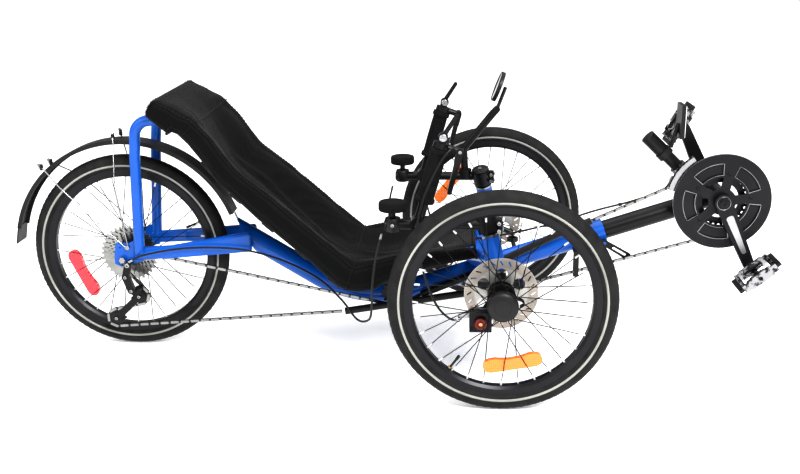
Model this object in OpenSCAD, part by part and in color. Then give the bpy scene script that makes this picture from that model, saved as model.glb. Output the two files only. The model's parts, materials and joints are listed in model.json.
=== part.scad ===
// Recumbent tricycle: two steered wheels in front, one driven wheel behind.
// +X points forward, +Y to the rider's left, +Z up. Millimetres.
// Most positions are measured from the point on the ground below the middle of the front axle line.

/* [Overall] */
// Distance from the rear axle to the front axle line
wheelbase = 900; // [890:5:910]
// Distance between the middles of the two front tyres
track = 700; // [696:2:720]
// Distance from the origin, the middle of the whole footprint, forward to the front axle line
front_axle_x = 275.3; // [200:0.1:300]

/* [Wheels] */
// Outer diameter of every tyre
tyre_d = 488; // [484:1:490]
// Width of every tyre
tyre_w = 40; // [36:1:42]
// Number of spokes in each wheel
spoke_count = 32; // [16:8:40]
// Diameter of a brake rotor
rotor_d = 160; // [140:10:160]

/* [Frame] */
// Outer diameter of the main tube
main_tube_d = 50.8; // [48:0.1:52]
// Outer diameter of the sliding boom
boom_d = 44.4; // [40:0.1:44.4]
// Outer diameter of the cross-member arms
cross_d = 38; // [34:1:40]
// Outer diameter of the seat rails and the hoops
rail_d = 25.4; // [22:0.2:26]
// Half of the distance between the middles of the seat rails
rail_y = 148; // [140:1:150]

/* [Steering] */
// Backward lean of each kingpin, in degrees
caster = 12; // [11:0.5:12.5]
// Inward lean of each kingpin, in degrees
inclination = 17.6; // [17:0.1:18]
// Diameter of the kingpins
kingpin_d = 28.6; // [26:0.1:28.6]
// Sideways distance from the middle plane to each handlebar
bar_y = 235; // [230:1:240]

/* [Drive] */
// Length of each crank arm, middle of the spindle to middle of the pedal axle
crank_length = 165; // [155:5:170]
// Angle of the right crank arm, in degrees from straight ahead
crank_angle = -65; // [-180:5:180]
// Teeth on the chainring that the chain runs on
ring_teeth = 39; // [38:1:39]
// Teeth on the sprocket that the chain runs on
sprocket_teeth = 11; // [11:1:12]

/* [Hidden] */
$fn = 48;

wheel_r = tyre_d / 2;
hub_y = track / 2;
rear_x = -wheelbase;
rear_axle_d = 10;
pitch = 12.7;                      // chain pitch
run = 0.05;                        // radial running clearance of a shaft in its bearing

// Middle line of the main tube, rear end to boom clamp
tube_rear = [-607, 0, 285.5];
tube_bend = [-322, 0, 110.9];
tube_front = [259, 0, 302];
tube_bend_r = 300;
front_dir = (tube_front - tube_bend) / norm(tube_front - tube_bend);
crank_centre = tube_front + front_dir * 273;

// Pivot of the boom clamp's lever
lever_at = [256, -36, 280];

// Kingpin of the right side: the axis meets the wheel axle's height at king_foot
king_foot = [0, -273, wheel_r];
king_slope = [-tan(caster), tan(inclination), 1];
king_dir = king_slope / norm(king_slope);
head_low = 283;
head_high = 352;
stem_z = 379;

// Hub and rotor, measured outward from the middle plane of a front wheel
rotor_offset = -54;
inner_flange = -24;
outer_flange = 22;

// Drive plane distances from the middle plane, to the right
ring_y = -46;
idler_y = -37;
sprocket_y = -58;
sprocket_step = 4.2;
cassette_teeth = [sprocket_teeth, 13, 15, 17, 20, 23, 26, 30, 34];
idler_teeth = 15;
jockey_teeth = 11;
idler_at = [-246, idler_y, 149];
upper_jockey_at = [-872, sprocket_y, 145];
lower_jockey_at = [-933, sprocket_y, 88];

black = [0.06, 0.06, 0.065];
blue = [0.05, 0.25, 0.65];
steel = [0.72, 0.72, 0.74];
orange = [1.0, 0.42, 0.05];
red = [0.85, 0.1, 0.12];

function unit(v) = v / norm(v);
function pitch_r(teeth) = pitch / (2 * sin(180 / teeth));
function turn(a, b, c) = acos(max(-1, min(1, unit(b - a) * unit(c - b))));
function setback(a, b, c, r) = r * tan(turn(a, b, c) / 2);
function king(z) = king_foot + king_slope * (z - wheel_r);

// ---- Placing ----

// Measures its children from the ground below the middle of the front axle line
module from_axle() translate([front_axle_x, 0, 0]) children();

// Draws its children, made for the right side, on the side s: -1 right, 1 left
module on_side(s) from_axle() mirror([0, s > 0 ? 1 : 0, 0]) children();

// Turns its children's +Z to point along dir, at the point p
module aim(p, dir)
    translate(p) rotate([0, acos(dir.z / norm(dir)), atan2(dir.y, dir.x)]) children();

// Turns +Z to point out of the wheel's right side, at the point p
module face_right(p) translate(p) rotate([90, 0, 0]) children();

// ---- Tubes and bars ----

module rod(p, q, d) aim(p, q - p) cylinder(h = norm(q - p), d = d);

module elbow(a, b, c, r, d) {
    along = unit(b - a);
    normal = unit(cross(along, unit(c - b)));
    inward = cross(normal, along);
    centre = b - along * setback(a, b, c, r) + inward * r;
    multmatrix([
        [-inward.x, along.x, normal.x, centre.x],
        [-inward.y, along.y, normal.y, centre.y],
        [-inward.z, along.z, normal.z, centre.z],
        [0, 0, 0, 1]
    ])
        rotate_extrude(angle = turn(a, b, c)) translate([r, 0]) circle(d = d);
}

// A round bar along straight stretches between the points of path, with bends of radius r.
// Each stretch runs a little way into its bends, which are a hair thicker.
lap = 1;
swell = 0.1;
module bent_rod(path, r, d) {
    last = len(path) - 1;
    for (i = [0 : last - 1]) {
        dir = unit(path[i + 1] - path[i]);
        start = i == 0 ? 0 : setback(path[i - 1], path[i], path[i + 1], r) - lap;
        end = i == last - 1 ? 0 : setback(path[i], path[i + 1], path[i + 2], r) - lap;
        rod(path[i] + dir * start, path[i + 1] - dir * end, d);
    }
    for (i = [1 : last - 1]) elbow(path[i - 1], path[i], path[i + 1], r, d + swell);
}

// A flat bar from p to q, w wide along Y and h high in the side view
module flat_bar(p, q, w, h) {
    along = unit(q - p);
    side = unit([0, 1, 0] - along * along.y);
    up = cross(along, side);
    multmatrix([
        [along.x, side.x, up.x, p.x],
        [along.y, side.y, up.y, p.y],
        [along.z, side.z, up.z, p.z],
        [0, 0, 0, 1]
    ])
        translate([0, -w / 2, -h / 2]) cube([norm(q - p), w, h]);
}

// A thin cable as one swept tube along the points of path
module cable(path, d, sides = 8) {
    last = len(path) - 1;
    rings = [for (i = [0 : last])
        let (along = unit(path[min(i + 1, last)] - path[max(i - 1, 0)]),
             ref = abs(along.x) < 0.9 ? [1, 0, 0] : [0, 1, 0],
             side = unit(cross(along, ref)), up = cross(side, along))
        [for (k = [0 : sides - 1])
            path[i] + (side * cos(360 * k / sides) + up * sin(360 * k / sides)) * d / 2]];
    polyhedron(
        points = [for (ring = rings) each ring],
        faces = concat(
            [[for (k = [0 : sides - 1]) k]],
            [for (i = [0 : last - 1]) for (k = [0 : sides - 1])
                let (n = (k + 1) % sides)
                [i * sides + k, (i + 1) * sides + k, (i + 1) * sides + n, i * sides + n]],
            [[for (k = [sides - 1 : -1 : 0]) last * sides + k]]
        )
    );
}

// Points on a smooth curve through the points of p, steps to a stretch
function smooth(p, steps) = [
    for (i = [0 : len(p) - 2]) for (k = [0 : i == len(p) - 2 ? steps : steps - 1])
        let (a = p[max(i - 1, 0)], b = p[i], c = p[i + 1], d = p[min(i + 2, len(p) - 1)], t = k / steps)
        0.5 * (2 * b + (c - a) * t + (2 * a - 5 * b + 4 * c - d) * t * t
            + (3 * b - a - 3 * c + d) * t * t * t)
];

// ---- Wheels, drawn about +Z, which points out of the wheel's outer face ----

module torus_section(r, d) translate([r, 0]) circle(d = d);

module tyre() {
    tread_r = wheel_r - tyre_w / 2;
    rotate_extrude() difference() {
        torus_section(tread_r, tyre_w);
        torus_section(tread_r, tyre_w - 7);
        translate([tread_r - tyre_w, -12.6]) square([tyre_w - 15, 25.2]);
    }
}

module rim()
    rotate_extrude() difference() {
        polygon([[190, -8], [190, 8], [196, 12.5], [209, 12.5], [209, -12.5], [196, -12.5]]);
        translate([202, -10.5]) square([10, 21]);
    }

// One spoke with its nipple: from the flange at height z to the rim
module spoke(angle, lean, flange_r, z) {
    start = [flange_r * cos(angle + lean), flange_r * sin(angle + lean), z];
    end = [191 * cos(angle), 191 * sin(angle), sign(z) * 2];
    rod(start, end, 2);
    rod(end - unit(end - start) * 13, end, 4.4);
}

module spokes(flange_r, z_out, z_in, lean = 52) {
    step = 360 / spoke_count;
    for (i = [0 : spoke_count - 1]) {
        z = i % 2 == 0 ? z_out : z_in;
        way = floor(i / 2) % 2 == 0 ? 1 : -1;
        spoke(i * step, way * lean, flange_r, z + way * 1.4);
    }
}

module front_hub() {
    difference() {
        union() {
            translate([0, 0, rotor_offset + 2]) cylinder(h = 6, d = 60);
            translate([0, 0, rotor_offset + 2]) cylinder(h = 80, d = 42);
            for (z = [inner_flange, outer_flange]) translate([0, 0, z - 2.5]) cylinder(h = 5, d = 62);
            translate([0, 0, 24]) cylinder(h = 8, d = 66);
            translate([0, 0, 32]) cylinder(h = 7, d1 = 62, d2 = 36);
        }
        translate([0, 0, rotor_offset]) cylinder(h = 82, d = 20);
        translate([0, 0, 20]) cylinder(h = 11, d = 36);
    }
    spokes(27, outer_flange, inner_flange);
}

module rotor()
    difference() {
        cylinder(h = 2, d = rotor_d);
        translate([0, 0, -1]) cylinder(h = 4, d = 36);
        for (a = [0 : 60 : 300]) rotate(a + 30) translate([44, 0, -1]) cylinder(h = 4, d = 26);
        for (a = [0 : 15 : 345]) rotate(a) translate([69, 0, -1]) rotate(35) translate([-6, -1.6, 0])
            cube([12, 3.2, 4]);
    }

// A spoke reflector, its long side square to the spoke at angle a
module spoke_reflector(a, r, long)
    rotate(a) translate([r, 0, -6]) difference() {
        union() {
            translate([-11, -long / 2 + 14, 0]) cube([30, long - 28, 12]);
            for (s = [-1, 1]) translate([4, s * (long / 2 - 14), 0]) cylinder(h = 12, d = 28);
        }
        translate([-r, 0, -1]) cylinder(h = 14, r = r - 6);
    }

module front_wheel_at() face_right([0, -hub_y, wheel_r]) children();
module rear_wheel_at() face_right([rear_x, 0, wheel_r]) children();

module tyre_part(s) on_side(s) front_wheel_at() color(black) tyre();
module rim_part(s) on_side(s) front_wheel_at() color(black) rim();
module hub_part(s) on_side(s) front_wheel_at() color(black) front_hub();
module rotor_part(s) on_side(s) front_wheel_at() translate([0, 0, rotor_offset]) color(steel) rotor();

module right_tyre() tyre_part(-1);
module left_tyre() tyre_part(1);
module right_rim() rim_part(-1);
module left_rim() rim_part(1);
module right_hub() hub_part(-1);
module left_hub() hub_part(1);
module right_rotor() rotor_part(-1);
module left_rotor() rotor_part(1);
module right_reflector() on_side(-1) front_wheel_at() color(orange) spoke_reflector(-80, 135, 128);
module left_reflector() on_side(1) front_wheel_at() color(orange) spoke_reflector(141, 135, 128);

module rear_tyre() from_axle() rear_wheel_at() color(black) tyre();
module rear_rim() from_axle() rear_wheel_at() color(black) rim();
module rear_reflector() from_axle() rear_wheel_at() color(red) spoke_reflector(-155, 137, 128);

module rear_hub() from_axle() rear_wheel_at() color(black) {
    difference() {
        union() {
            translate([0, 0, -60]) cylinder(h = 80, d = 34);
            for (z = [-30, 18]) translate([0, 0, z - 2]) cylinder(h = 4, d = 62);
        }
        translate([0, 0, -61]) cylinder(h = 90, d = rear_axle_d + 2 * run);
    }
    spokes(27, 18, -30);
}

// ---- Drive ----

// A toothed plate about +Z, its middle at height 0; tip is how far the teeth reach past the chain's own line
module sprocket(teeth, thick, bore, tip = 2.6) {
    r = pitch_r(teeth);
    step = 360 / teeth;
    linear_extrude(thick, center = true) difference() {
        polygon([for (i = [0 : teeth - 1]) each [
            for (k = [[-0.34, -3.6], [-0.12, tip], [0.12, tip], [0.34, -3.6]])
                (r + k[1]) * [cos((i + k[0]) * step), sin((i + k[0]) * step)]]]);
        circle(d = bore);
    }
}

module cassette() from_axle() color(steel) {
    count = len(cassette_teeth);
    for (i = [0 : count - 1])
        face_right([rear_x, sprocket_y + i * sprocket_step, wheel_r]) sprocket(cassette_teeth[i], 1.8, 30);
    face_right([rear_x, sprocket_y + count * sprocket_step - 2.5, wheel_r])
        difference() {
            cylinder(h = count * sprocket_step + 1.5, d = 36);
            translate([0, 0, -1]) cylinder(h = count * sprocket_step + 4, d = rear_axle_d + 2 * run);
        }
}

// A chain wheel between two round side plates, turning on a pin of diameter pin_d
module guide_wheel(teeth, plate_d, pin_d) {
    sprocket(teeth, 1.6, pin_d + 2 * run, 1.2);
    difference() {
        translate([0, 0, -4]) cylinder(h = 8, d = plate_d);
        translate([0, 0, -5]) cylinder(h = 10, d = pin_d + 2 * run);
    }
}

module power_idler() from_axle() face_right(idler_at) color(black) guide_wheel(idler_teeth, 46, 12);
module upper_jockey() from_axle() face_right(upper_jockey_at) color(black) guide_wheel(jockey_teeth, 26, 6);
module lower_jockey() from_axle() face_right(lower_jockey_at) color(black) guide_wheel(jockey_teeth, 26, 6);

module ring(teeth, y, bore)
    translate([0, 0, -y]) sprocket(teeth, 2, bore);

// The guard ring's window between two spider arms
module guard_window(a)
    rotate(a) linear_extrude(6, center = true) difference() {
        circle(r = 90);
        circle(r = 62);
        for (s = [-1, 1]) rotate(s * 25) translate([0, s > 0 ? 0 : -200]) square([200, 200]);
        rotate(180) translate([0, -200]) square([200, 400]);
    }

module chainrings() from_axle() face_right([crank_centre.x, 0, crank_centre.z]) color(black) {
    ring(30, ring_y + 5.5, 84);
    ring(ring_teeth, ring_y, 118);
    ring(52, ring_y - 6, 118);
    difference() {
        translate([0, 0, 55.4]) cylinder(h = 2.6, d = 225);
        translate([0, 0, 50]) cylinder(h = 12, d = 114);
        translate([0, 0, 56.5]) for (k = [0 : 4]) guard_window(k * 72 + 36 + crank_angle);
    }
    // Spider with five arms, and the bolts that carry the rings
    difference() {
        union() {
            translate([0, 0, 55.6]) cylinder(h = 2.6, d = 64);
            translate([0, 0, 47.5]) cylinder(h = 10.9, d = 50);
            for (k = [0 : 4]) rotate(k * 72 + crank_angle) {
                translate([0, -11, 55.1]) cube([66, 22, 2.7]);
                translate([65, 0, 44]) cylinder(h = 13, d = 10);
                translate([50, 0, 39]) cylinder(h = 11, d = 9);
            }
            for (k = [0 : 4]) rotate(k * 72 + crank_angle) translate([0, -9, 48]) cube([64, 18, 2.5]);
        }
        translate([0, 0, 30]) cylinder(h = 40, d = 24 + 2 * run);
    }
}

// A crank arm in the side view plane, pointing along +X, drawn about +Z
module crank_arm(drive_side) {
    h = 14;
    difference() {
        hull() {
            cylinder(h = h, d = 40, $fn = 32);
            translate([crank_length, 0, 1]) cylinder(h = h - 2, d = 26, $fn = 32);
        }
        if (drive_side) translate([34, -9, h - 1.5]) cube([100, 18, 4]);
    }
}

crank_plane = 61;                  // inner face of each crank arm, from the middle plane
pedal_plane = 92;                  // inner end of each pedal body

module crank_arms() from_axle() color(black) {
    face_right([crank_centre.x, 0, crank_centre.z]) {
        difference() {
            translate([0, 0, -crank_plane - 6]) cylinder(h = 2 * crank_plane + 12, d = 24);
            translate([0, 0, -crank_plane - 7]) cylinder(h = 2 * crank_plane + 14, d = 18);
        }
        rotate(crank_angle) {
            translate([0, 0, crank_plane]) crank_arm(true);
            translate([crank_length, 0, crank_plane + 8]) cylinder(h = 96, d = 9);
        }
        rotate(crank_angle + 180) mirror([0, 0, 1]) {
            translate([0, 0, crank_plane]) crank_arm(false);
            translate([crank_length, 0, crank_plane + 8]) cylinder(h = 96, d = 9);
        }
    }
}

// A platform pedal about +Z, which runs out along its axle
module pedal() {
    difference() {
        union() {
            cylinder(h = 76, d = 24);
            for (x = [-44, 38]) translate([x, -9, 4]) cube([6, 18, 70]);
            for (z = [2, 70]) translate([-44, -9, z]) cube([88, 18, 6]);
            for (z = [2, 70]) translate([-30, -12, z]) cube([60, 24, 6]);
        }
        translate([0, 0, -1]) cylinder(h = 79, d = 9 + 2 * run);
    }
    for (x = [-41, 41]) for (z = [14, 39, 64]) for (s = [0, 1]) translate([x, 0, z]) rotate([s * 180, 0, 0])
        rotate([-90, 0, 0]) translate([0, 0, 9]) cylinder(h = 4, d = 3.4);
}

module pedal_part(s) {
    reach = crank_length * (s < 0 ? 1 : -1);
    from_axle() translate([crank_centre.x + reach * cos(crank_angle), 0, crank_centre.z + reach * sin(crank_angle)])
        mirror([0, s > 0 ? 1 : 0, 0]) face_right([0, -pedal_plane, 0]) rotate(s < 0 ? 40 : 60) color(steel) pedal();
}
module right_pedal() pedal_part(-1);
module left_pedal() pedal_part(1);

// ---- Chain: side plates all the way, with solid cores on the straight runs ----

plate_w = 1.5;                     // thickness of one side of the chain
plate_gap = 3.1;                   // clear width between the two sides, over the sprocket teeth
plate_h = 7.6;                     // height of the chain

// Where a line that leaves a circle of radius r about c in the direction dir, in the side view, touches it;
// side is 1 with the circle to the left of the direction and -1 with it to the right
function touch(c, r, dir, side) = c + r * side * unit([dir.z, 0, -dir.x]);

// Direction of the common tangent from the circle c1, r1 to the circle c2, r2, each with its side
function tangent_dir(c1, r1, s1, c2, r2, s2) =
    let (d = [c2.x - c1.x, c2.z - c1.z], a = atan2(d.y, d.x), b = asin((s2 * r2 - s1 * r1) / norm(d)))
    [cos(a - b), 0, sin(a - b)];

module chain_straight(p, q, core, extra = 0) {
    d = unit(q - p);
    for (s = [-1, 1]) translate([0, s * (plate_gap + plate_w) / 2, 0])
        flat_bar(p - d * lap, q + d * lap, plate_w + extra, plate_h + extra);
    if (core) flat_bar(p + d * 45, q - d * 45, plate_gap + 0.2, 5.6);
}

// The chain round a wheel at c, from the angle a through the angle sweep, in the side view
module chain_arc(c, r, a, sweep)
    translate(c) rotate([90, 0, 0]) rotate(a) rotate_extrude(angle = sweep)
        for (s = [-1, 1]) translate([r, s * (plate_gap + plate_w) / 2])
            square([plate_h + swell, plate_w + swell], center = true);

ring_c = [crank_centre.x, ring_y, crank_centre.z];
sprocket_c = [rear_x, sprocket_y, wheel_r];
ring_r = pitch_r(ring_teeth);
sprocket_r = pitch_r(sprocket_teeth);
idler_r = pitch_r(idler_teeth);
jockey_r = pitch_r(jockey_teeth);

// The upper, pulling run goes forward: sprocket, under the idler, through its tube, chainring
drive_tube = [[-180, -38, 147], [-43, -39, 204], [19, -40, 238], [159, -41, 309], [222, -42, 336]];
// The slack run comes back from the lower jockey wheel to the chainring through its own tube
return_tube = [[-365, -56, 108.5], [-60, -53, 158], [90, -50, 184.6]];

module chain() from_axle() color(steel) {
    d1 = tangent_dir(sprocket_c, sprocket_r, -1, idler_at, idler_r, 1);
    top1 = touch(sprocket_c, sprocket_r, d1, -1);
    low1 = touch(idler_at, idler_r, d1, 1);
    // It runs straight past the next sprocket before it slants to the idler's plane
    past1 = top1 + d1 * 70;
    chain_straight(top1, past1, false, 2 * swell);
    chain_straight(past1, low1, true);

    climb = atan2(drive_tube[1].z - drive_tube[0].z, drive_tube[1].x - drive_tube[0].x);
    up_dir = [cos(climb), 0, sin(climb)];
    low2 = touch(idler_at, idler_r, up_dir, 1);
    chain_arc(idler_at, idler_r, -90 + atan2(d1.z, d1.x), climb - atan2(d1.z, d1.x));
    chain_straight(low2, drive_tube[0], false);
    for (i = [0 : len(drive_tube) - 2]) chain_straight(drive_tube[i], drive_tube[i + 1], false);
    d3 = tangent_dir(drive_tube[len(drive_tube) - 1], 0, 1, ring_c, ring_r, -1);
    top3 = touch(ring_c, ring_r, d3, -1);
    chain_straight(drive_tube[len(drive_tube) - 1], top3, true);

    d4 = tangent_dir(return_tube[2], 0, 1, ring_c, ring_r, 1);
    low4 = touch(ring_c, ring_r, d4, 1);
    top_angle = 90 + atan2(d3.z, d3.x);
    low_angle = -90 + atan2(d4.z, d4.x);
    chain_arc(ring_c, ring_r, low_angle, top_angle - low_angle);
    chain_straight(return_tube[2], low4, true);
    for (i = [0 : 1]) chain_straight(return_tube[i], return_tube[i + 1], true);

    d5 = tangent_dir(lower_jockey_at, jockey_r, 1, return_tube[0], 0, 1);
    low5 = touch(lower_jockey_at, jockey_r, d5, 1);
    chain_straight(low5, return_tube[0], true);

    // Round the back of the sprocket, in front of the upper jockey and behind the lower one
    d6 = tangent_dir(sprocket_c, sprocket_r, 1, upper_jockey_at, jockey_r, -1);
    back6 = touch(sprocket_c, sprocket_r, d6, 1);
    front6 = touch(upper_jockey_at, jockey_r, d6, -1);
    a_top = 90 + atan2(d1.z, d1.x);
    a_back = 270 + atan2(d6.z, d6.x);
    chain_arc(sprocket_c, sprocket_r, a_top, a_back - a_top);
    chain_straight(back6, front6, false);
    d7 = tangent_dir(upper_jockey_at, jockey_r, -1, lower_jockey_at, jockey_r, 1);
    front7 = touch(upper_jockey_at, jockey_r, d7, -1);
    back7 = touch(lower_jockey_at, jockey_r, d7, 1);
    chain_arc(upper_jockey_at, jockey_r, 90 + atan2(d7.z, d7.x), atan2(d6.z, d6.x) - atan2(d7.z, d7.x));
    chain_straight(front7, back7, false);
    a_low = 270 + atan2(d7.z, d7.x);
    chain_arc(lower_jockey_at, jockey_r, a_low, 270 + atan2(d5.z, d5.x) - a_low);
}

module guide_tube(path) {
    difference() {
        bent_rod(path, 120, 17);
        bent_rod(concat([path[0] - unit(path[1] - path[0])],
            [for (i = [1 : len(path) - 2]) path[i]],
            [path[len(path) - 1] + unit(path[len(path) - 1] - path[len(path) - 2])]), 120, 13);
    }
}

module chain_tubes() from_axle() color(black) {
    guide_tube(drive_tube);
    guide_tube(return_tube);
    // Chain keeper: two plates below the main tube, one each side of the slack run
    for (y = [ring_y - 8, ring_y + 5.5]) translate([184, y, 200]) cube([12, 2.5, 62]);
    translate([184, ring_y - 8, 200]) cube([12, 16, 3]);
    translate([184, ring_y + 5.5, 255]) cube([12, 22, 7]);
}

// ---- Frame ----

module main_tube() from_axle() color(blue) {
    difference() {
        union() {
            bent_rod([tube_rear - unit(tube_bend - tube_rear) * 50, tube_bend, tube_front], tube_bend_r, main_tube_d);
            // Slotted collar at the boom end
            aim(tube_front - front_dir * 34, front_dir) cylinder(h = 34, d = main_tube_d + 5);
            // Boss and axle of the power idler
            rod([idler_at.x, -18, idler_at.z], [idler_at.x, idler_y + 5, idler_at.z], 26);
            rod([idler_at.x, -18, idler_at.z], [idler_at.x, idler_y - 10, idler_at.z], 12);
            rod([idler_at.x, idler_y - 5, idler_at.z], [idler_at.x, idler_y - 11, idler_at.z], 20);
            // Lug and pivot pin of the clamp lever
            rod([lever_at.x, 0, lever_at.z], [lever_at.x, lever_at.y + 4.2, lever_at.z], 16);
            rod([lever_at.x, lever_at.y + 6, lever_at.z], [lever_at.x, lever_at.y - 7, lever_at.z], 8 - 2 * run);
            // Gusset and cross bolt under the seat
            translate([-352, -14, 160]) cube([64, 28, 34]);
        }
        // The rear end is cut on the slant
        aim([-607, 0, 285.5], [-0.88, 0, -0.47]) translate([-80, -80, 0]) cube([160, 160, 160]);
        // The bore that the boom slides in
        aim(tube_front + front_dir, -front_dir) cylinder(h = 190, d = boom_d + 2 * run);
        // Clamp slot
        aim(tube_front + front_dir, -front_dir) translate([-40, -1.2, 0]) cube([40, 2.4, 60]);
    }
}

module head_tube()
    difference() {
        rod(king(head_low), king(head_high), 42);
        rod(king(head_low - 5), king(head_high + 5), 34);
    }

module cross_member() color(blue) for (s = [-1, 1]) on_side(s) {
    difference() {
        rod([-52, 12, 226], king(302), cross_d);
        rod(king(head_low - 30), king(head_high + 30), 41.5);
        bent_rod([tube_rear, tube_bend, tube_front], tube_bend_r, main_tube_d);
    }
    head_tube();
}

// A cup pressed into each end of a head tube, with the kingpin turning in it
module headset_cups() color(steel) for (s = [-1, 1]) on_side(s)
    for (end = [[head_low, -1], [head_high, 1]])
        aim(king(end[0]), king_dir * end[1]) difference() {
            union() {
                cylinder(h = 5, d = 44);
                translate([0, 0, -12]) cylinder(h = 12.5, d = 34);
            }
            translate([0, 0, -13]) cylinder(h = 20, d = kingpin_d + 2 * run);
        }

dropout_y = 70;
eyelet = [-906, 273];              // X and Z of the rack eyelets

module rear_stays() {
    color(blue) for (s = [-1, 1]) on_side(s) rear_stay();
    color(steel) from_axle() rod([rear_x, -dropout_y - 9, wheel_r], [rear_x, dropout_y + 9, wheel_r], rear_axle_d);
}

module rear_stay() {
    bend = [-780, -dropout_y - 1];
    difference() {
        union() {
            hull() {
                for (z = [-8, 8]) translate([-866, -dropout_y - 1, 258 + z]) sphere(d = 15, $fn = 24);
                for (z = [-9, 9]) translate([bend.x, bend.y, 263 + z]) sphere(d = 15, $fn = 24);
            }
            hull() {
                for (z = [-9, 9]) translate([bend.x, bend.y, 263 + z]) sphere(d = 15, $fn = 24);
                for (z = [-17, 17]) translate([-600, -36, 278 + z]) sphere(d = 17, $fn = 24);
            }
        }
        bent_rod([tube_rear - [57, 0, -35], tube_bend, tube_front], tube_bend_r, main_tube_d);
    }
    // Dropout plate with the slot for the axle and a threaded eyelet for a rack
    difference() {
        face_right([0, -dropout_y + 3, 0]) linear_extrude(6) difference() {
            polygon([
                [-850, 240], [-850, 290], [-872, 290], [-884, 284], [-915, 284], [-920, 262],
                [-922, 232], [-900, 222], [-880, 232]
            ]);
            translate([rear_x, wheel_r]) circle(d = rear_axle_d + 0.2);
            translate([rear_x - 5.1, wheel_r - 30]) square([10.2, 30]);
        }
        rod([eyelet.x, -60, eyelet.y], [eyelet.x, -80, eyelet.y], 4.2);
    }
    // Axle nuts on both faces of the plate
    rod([rear_x, -dropout_y - 2.5, wheel_r], [rear_x, -dropout_y - 9.5, wheel_r], 17);
    rod([rear_x, -dropout_y + 2.5, wheel_r], [rear_x, -dropout_y + 7, wheel_r], 17);
}

hoop_path = [[-858, -dropout_y - 5, 262], [-846, -88, 500], [-838, -92, 582], [-735, -98, 596]];
rail_path = [
    [-768, -rail_y, 632], [-700, -rail_y, 576], [-612, -rail_y, 470], [-338, -rail_y, 228],
    [-240, -rail_y, 256], [-52, -rail_y, 292]
];

module seat_frame() color(blue) from_axle() {
    for (s = [0, 1]) mirror([0, s, 0]) {
        bent_rod(hoop_path, 38, rail_d);
        bent_rod(rail_path, 38, rail_d);
        // Tab from the rail's front end down to the cross-member
        rod([-52, -rail_y, 292], [-26, -rail_y, 262], 16);
    }
    rod([-762, -rail_y, 627], [-762, rail_y, 627], rail_d);
    rod([-728, -rail_y, 599], [-728, rail_y, 599], 22);
    rod([-338, -rail_y, 230], [-338, rail_y, 230], 22);
    // Bracket that carries the hip tube on the main tube's gusset
    difference() {
        translate([-352, -10, 194]) cube([30, 20, 36]);
        rod([-338, -20, 230], [-338, 20, 230], 21.5);
    }
}

// The sling: one sheet over the rails, with a sleeve round each of them. Both are strips that
// follow the rails' line in the side view, between the distances low and high above it.
sleeve_r = 15;
sling_line = [for (p = rail_path) [p.x, p.z]];
function ahead(i) = unit(sling_line[min(i + 1, len(sling_line) - 1)] - sling_line[min(i, len(sling_line) - 2)]);
function behind(i) = i == 0 ? ahead(0) : ahead(i - 1);
function above(i, d, inset) =
    let (n = unit(ahead(i) + behind(i)), half = acos(min(1, ahead(i) * behind(i))) / 2,
         shift = i == 0 ? inset : i == len(sling_line) - 1 ? -inset : 0)
    sling_line[i] + [-n.y, n.x] * d / cos(half) + ahead(i) * shift;
module sling_strip(low, high, y_low, y_high, inset)
    translate([0, y_high, 0]) rotate([90, 0, 0]) linear_extrude(y_high - y_low) polygon(concat(
        [for (i = [0 : len(sling_line) - 1]) above(i, low, inset)],
        [for (i = [len(sling_line) - 1 : -1 : 0]) above(i, high, inset)]));

module seat_sling() color(black) from_axle() {
    sling_strip(sleeve_r - 1.5, sleeve_r + 2.5, -rail_y, rail_y, 2);
    for (s = [0, 1]) mirror([0, s, 0])
        sling_strip(-sleeve_r, sleeve_r, -rail_y - sleeve_r, -rail_y + sleeve_r, 0);
}

module boom() from_axle() color(black)
    difference() {
        union() {
            rod(tube_front - front_dir * 150, crank_centre, boom_d);
            rod([crank_centre.x, -34, crank_centre.z], [crank_centre.x, 34, crank_centre.z], 46);
            // Bearing cups, one each side
            for (s = [-1, 1]) rod([crank_centre.x, s * 34, crank_centre.z], [crank_centre.x, s * 44.5, crank_centre.z], 42);
        }
        rod([crank_centre.x, -50, crank_centre.z], [crank_centre.x, 50, crank_centre.z], 24 + 2 * run);
    }

module boom_lever() from_axle() color(black)
    difference() {
        union() {
            face_right([lever_at.x, lever_at.y + 4, lever_at.z]) cylinder(h = 8, d = 18);
            hull() {
                face_right([lever_at.x, lever_at.y + 3, lever_at.z]) cylinder(h = 6, d = 14, $fn = 24);
                face_right(lever_at + [56, 3, -33]) cylinder(h = 6, d = 17, $fn = 24);
            }
        }
        hull() {
            face_right(lever_at + [22, 8, -13]) cylinder(h = 16, d = 6, $fn = 24);
            face_right(lever_at + [50, 8, -29.5]) cylinder(h = 16, d = 6, $fn = 24);
        }
        rod(lever_at + [0, 10, 0], lever_at - [0, 10, 0], 8);
    }

post_foot = [492, 0, 392];
post_top = [351, 0, 529];
post_dir = unit(post_top - post_foot);

module accessory_post() from_axle() color(black)
    difference() {
        union() {
            rod(post_foot, post_top, 28.6);
            rod(post_top - post_dir * 46, post_top, 34);
        }
        rod(tube_front, crank_centre, boom_d);
        rod([crank_centre.x, -40, crank_centre.z], [crank_centre.x, 40, crank_centre.z], 46);
    }

module front_reflector() from_axle() {
    mid = post_top - post_dir * 56;
    color(black) difference() {
        union() {
            aim(mid - post_dir * 8, post_dir) cylinder(h = 16, d = 38);
            rod(mid + [14, 0, 14], [420, 0, 560], 10);
        }
        rod(post_foot, post_top, 28.6);
    }
    color("white") translate([420, -27, 528]) cube([9, 54, 78]);
}

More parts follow.
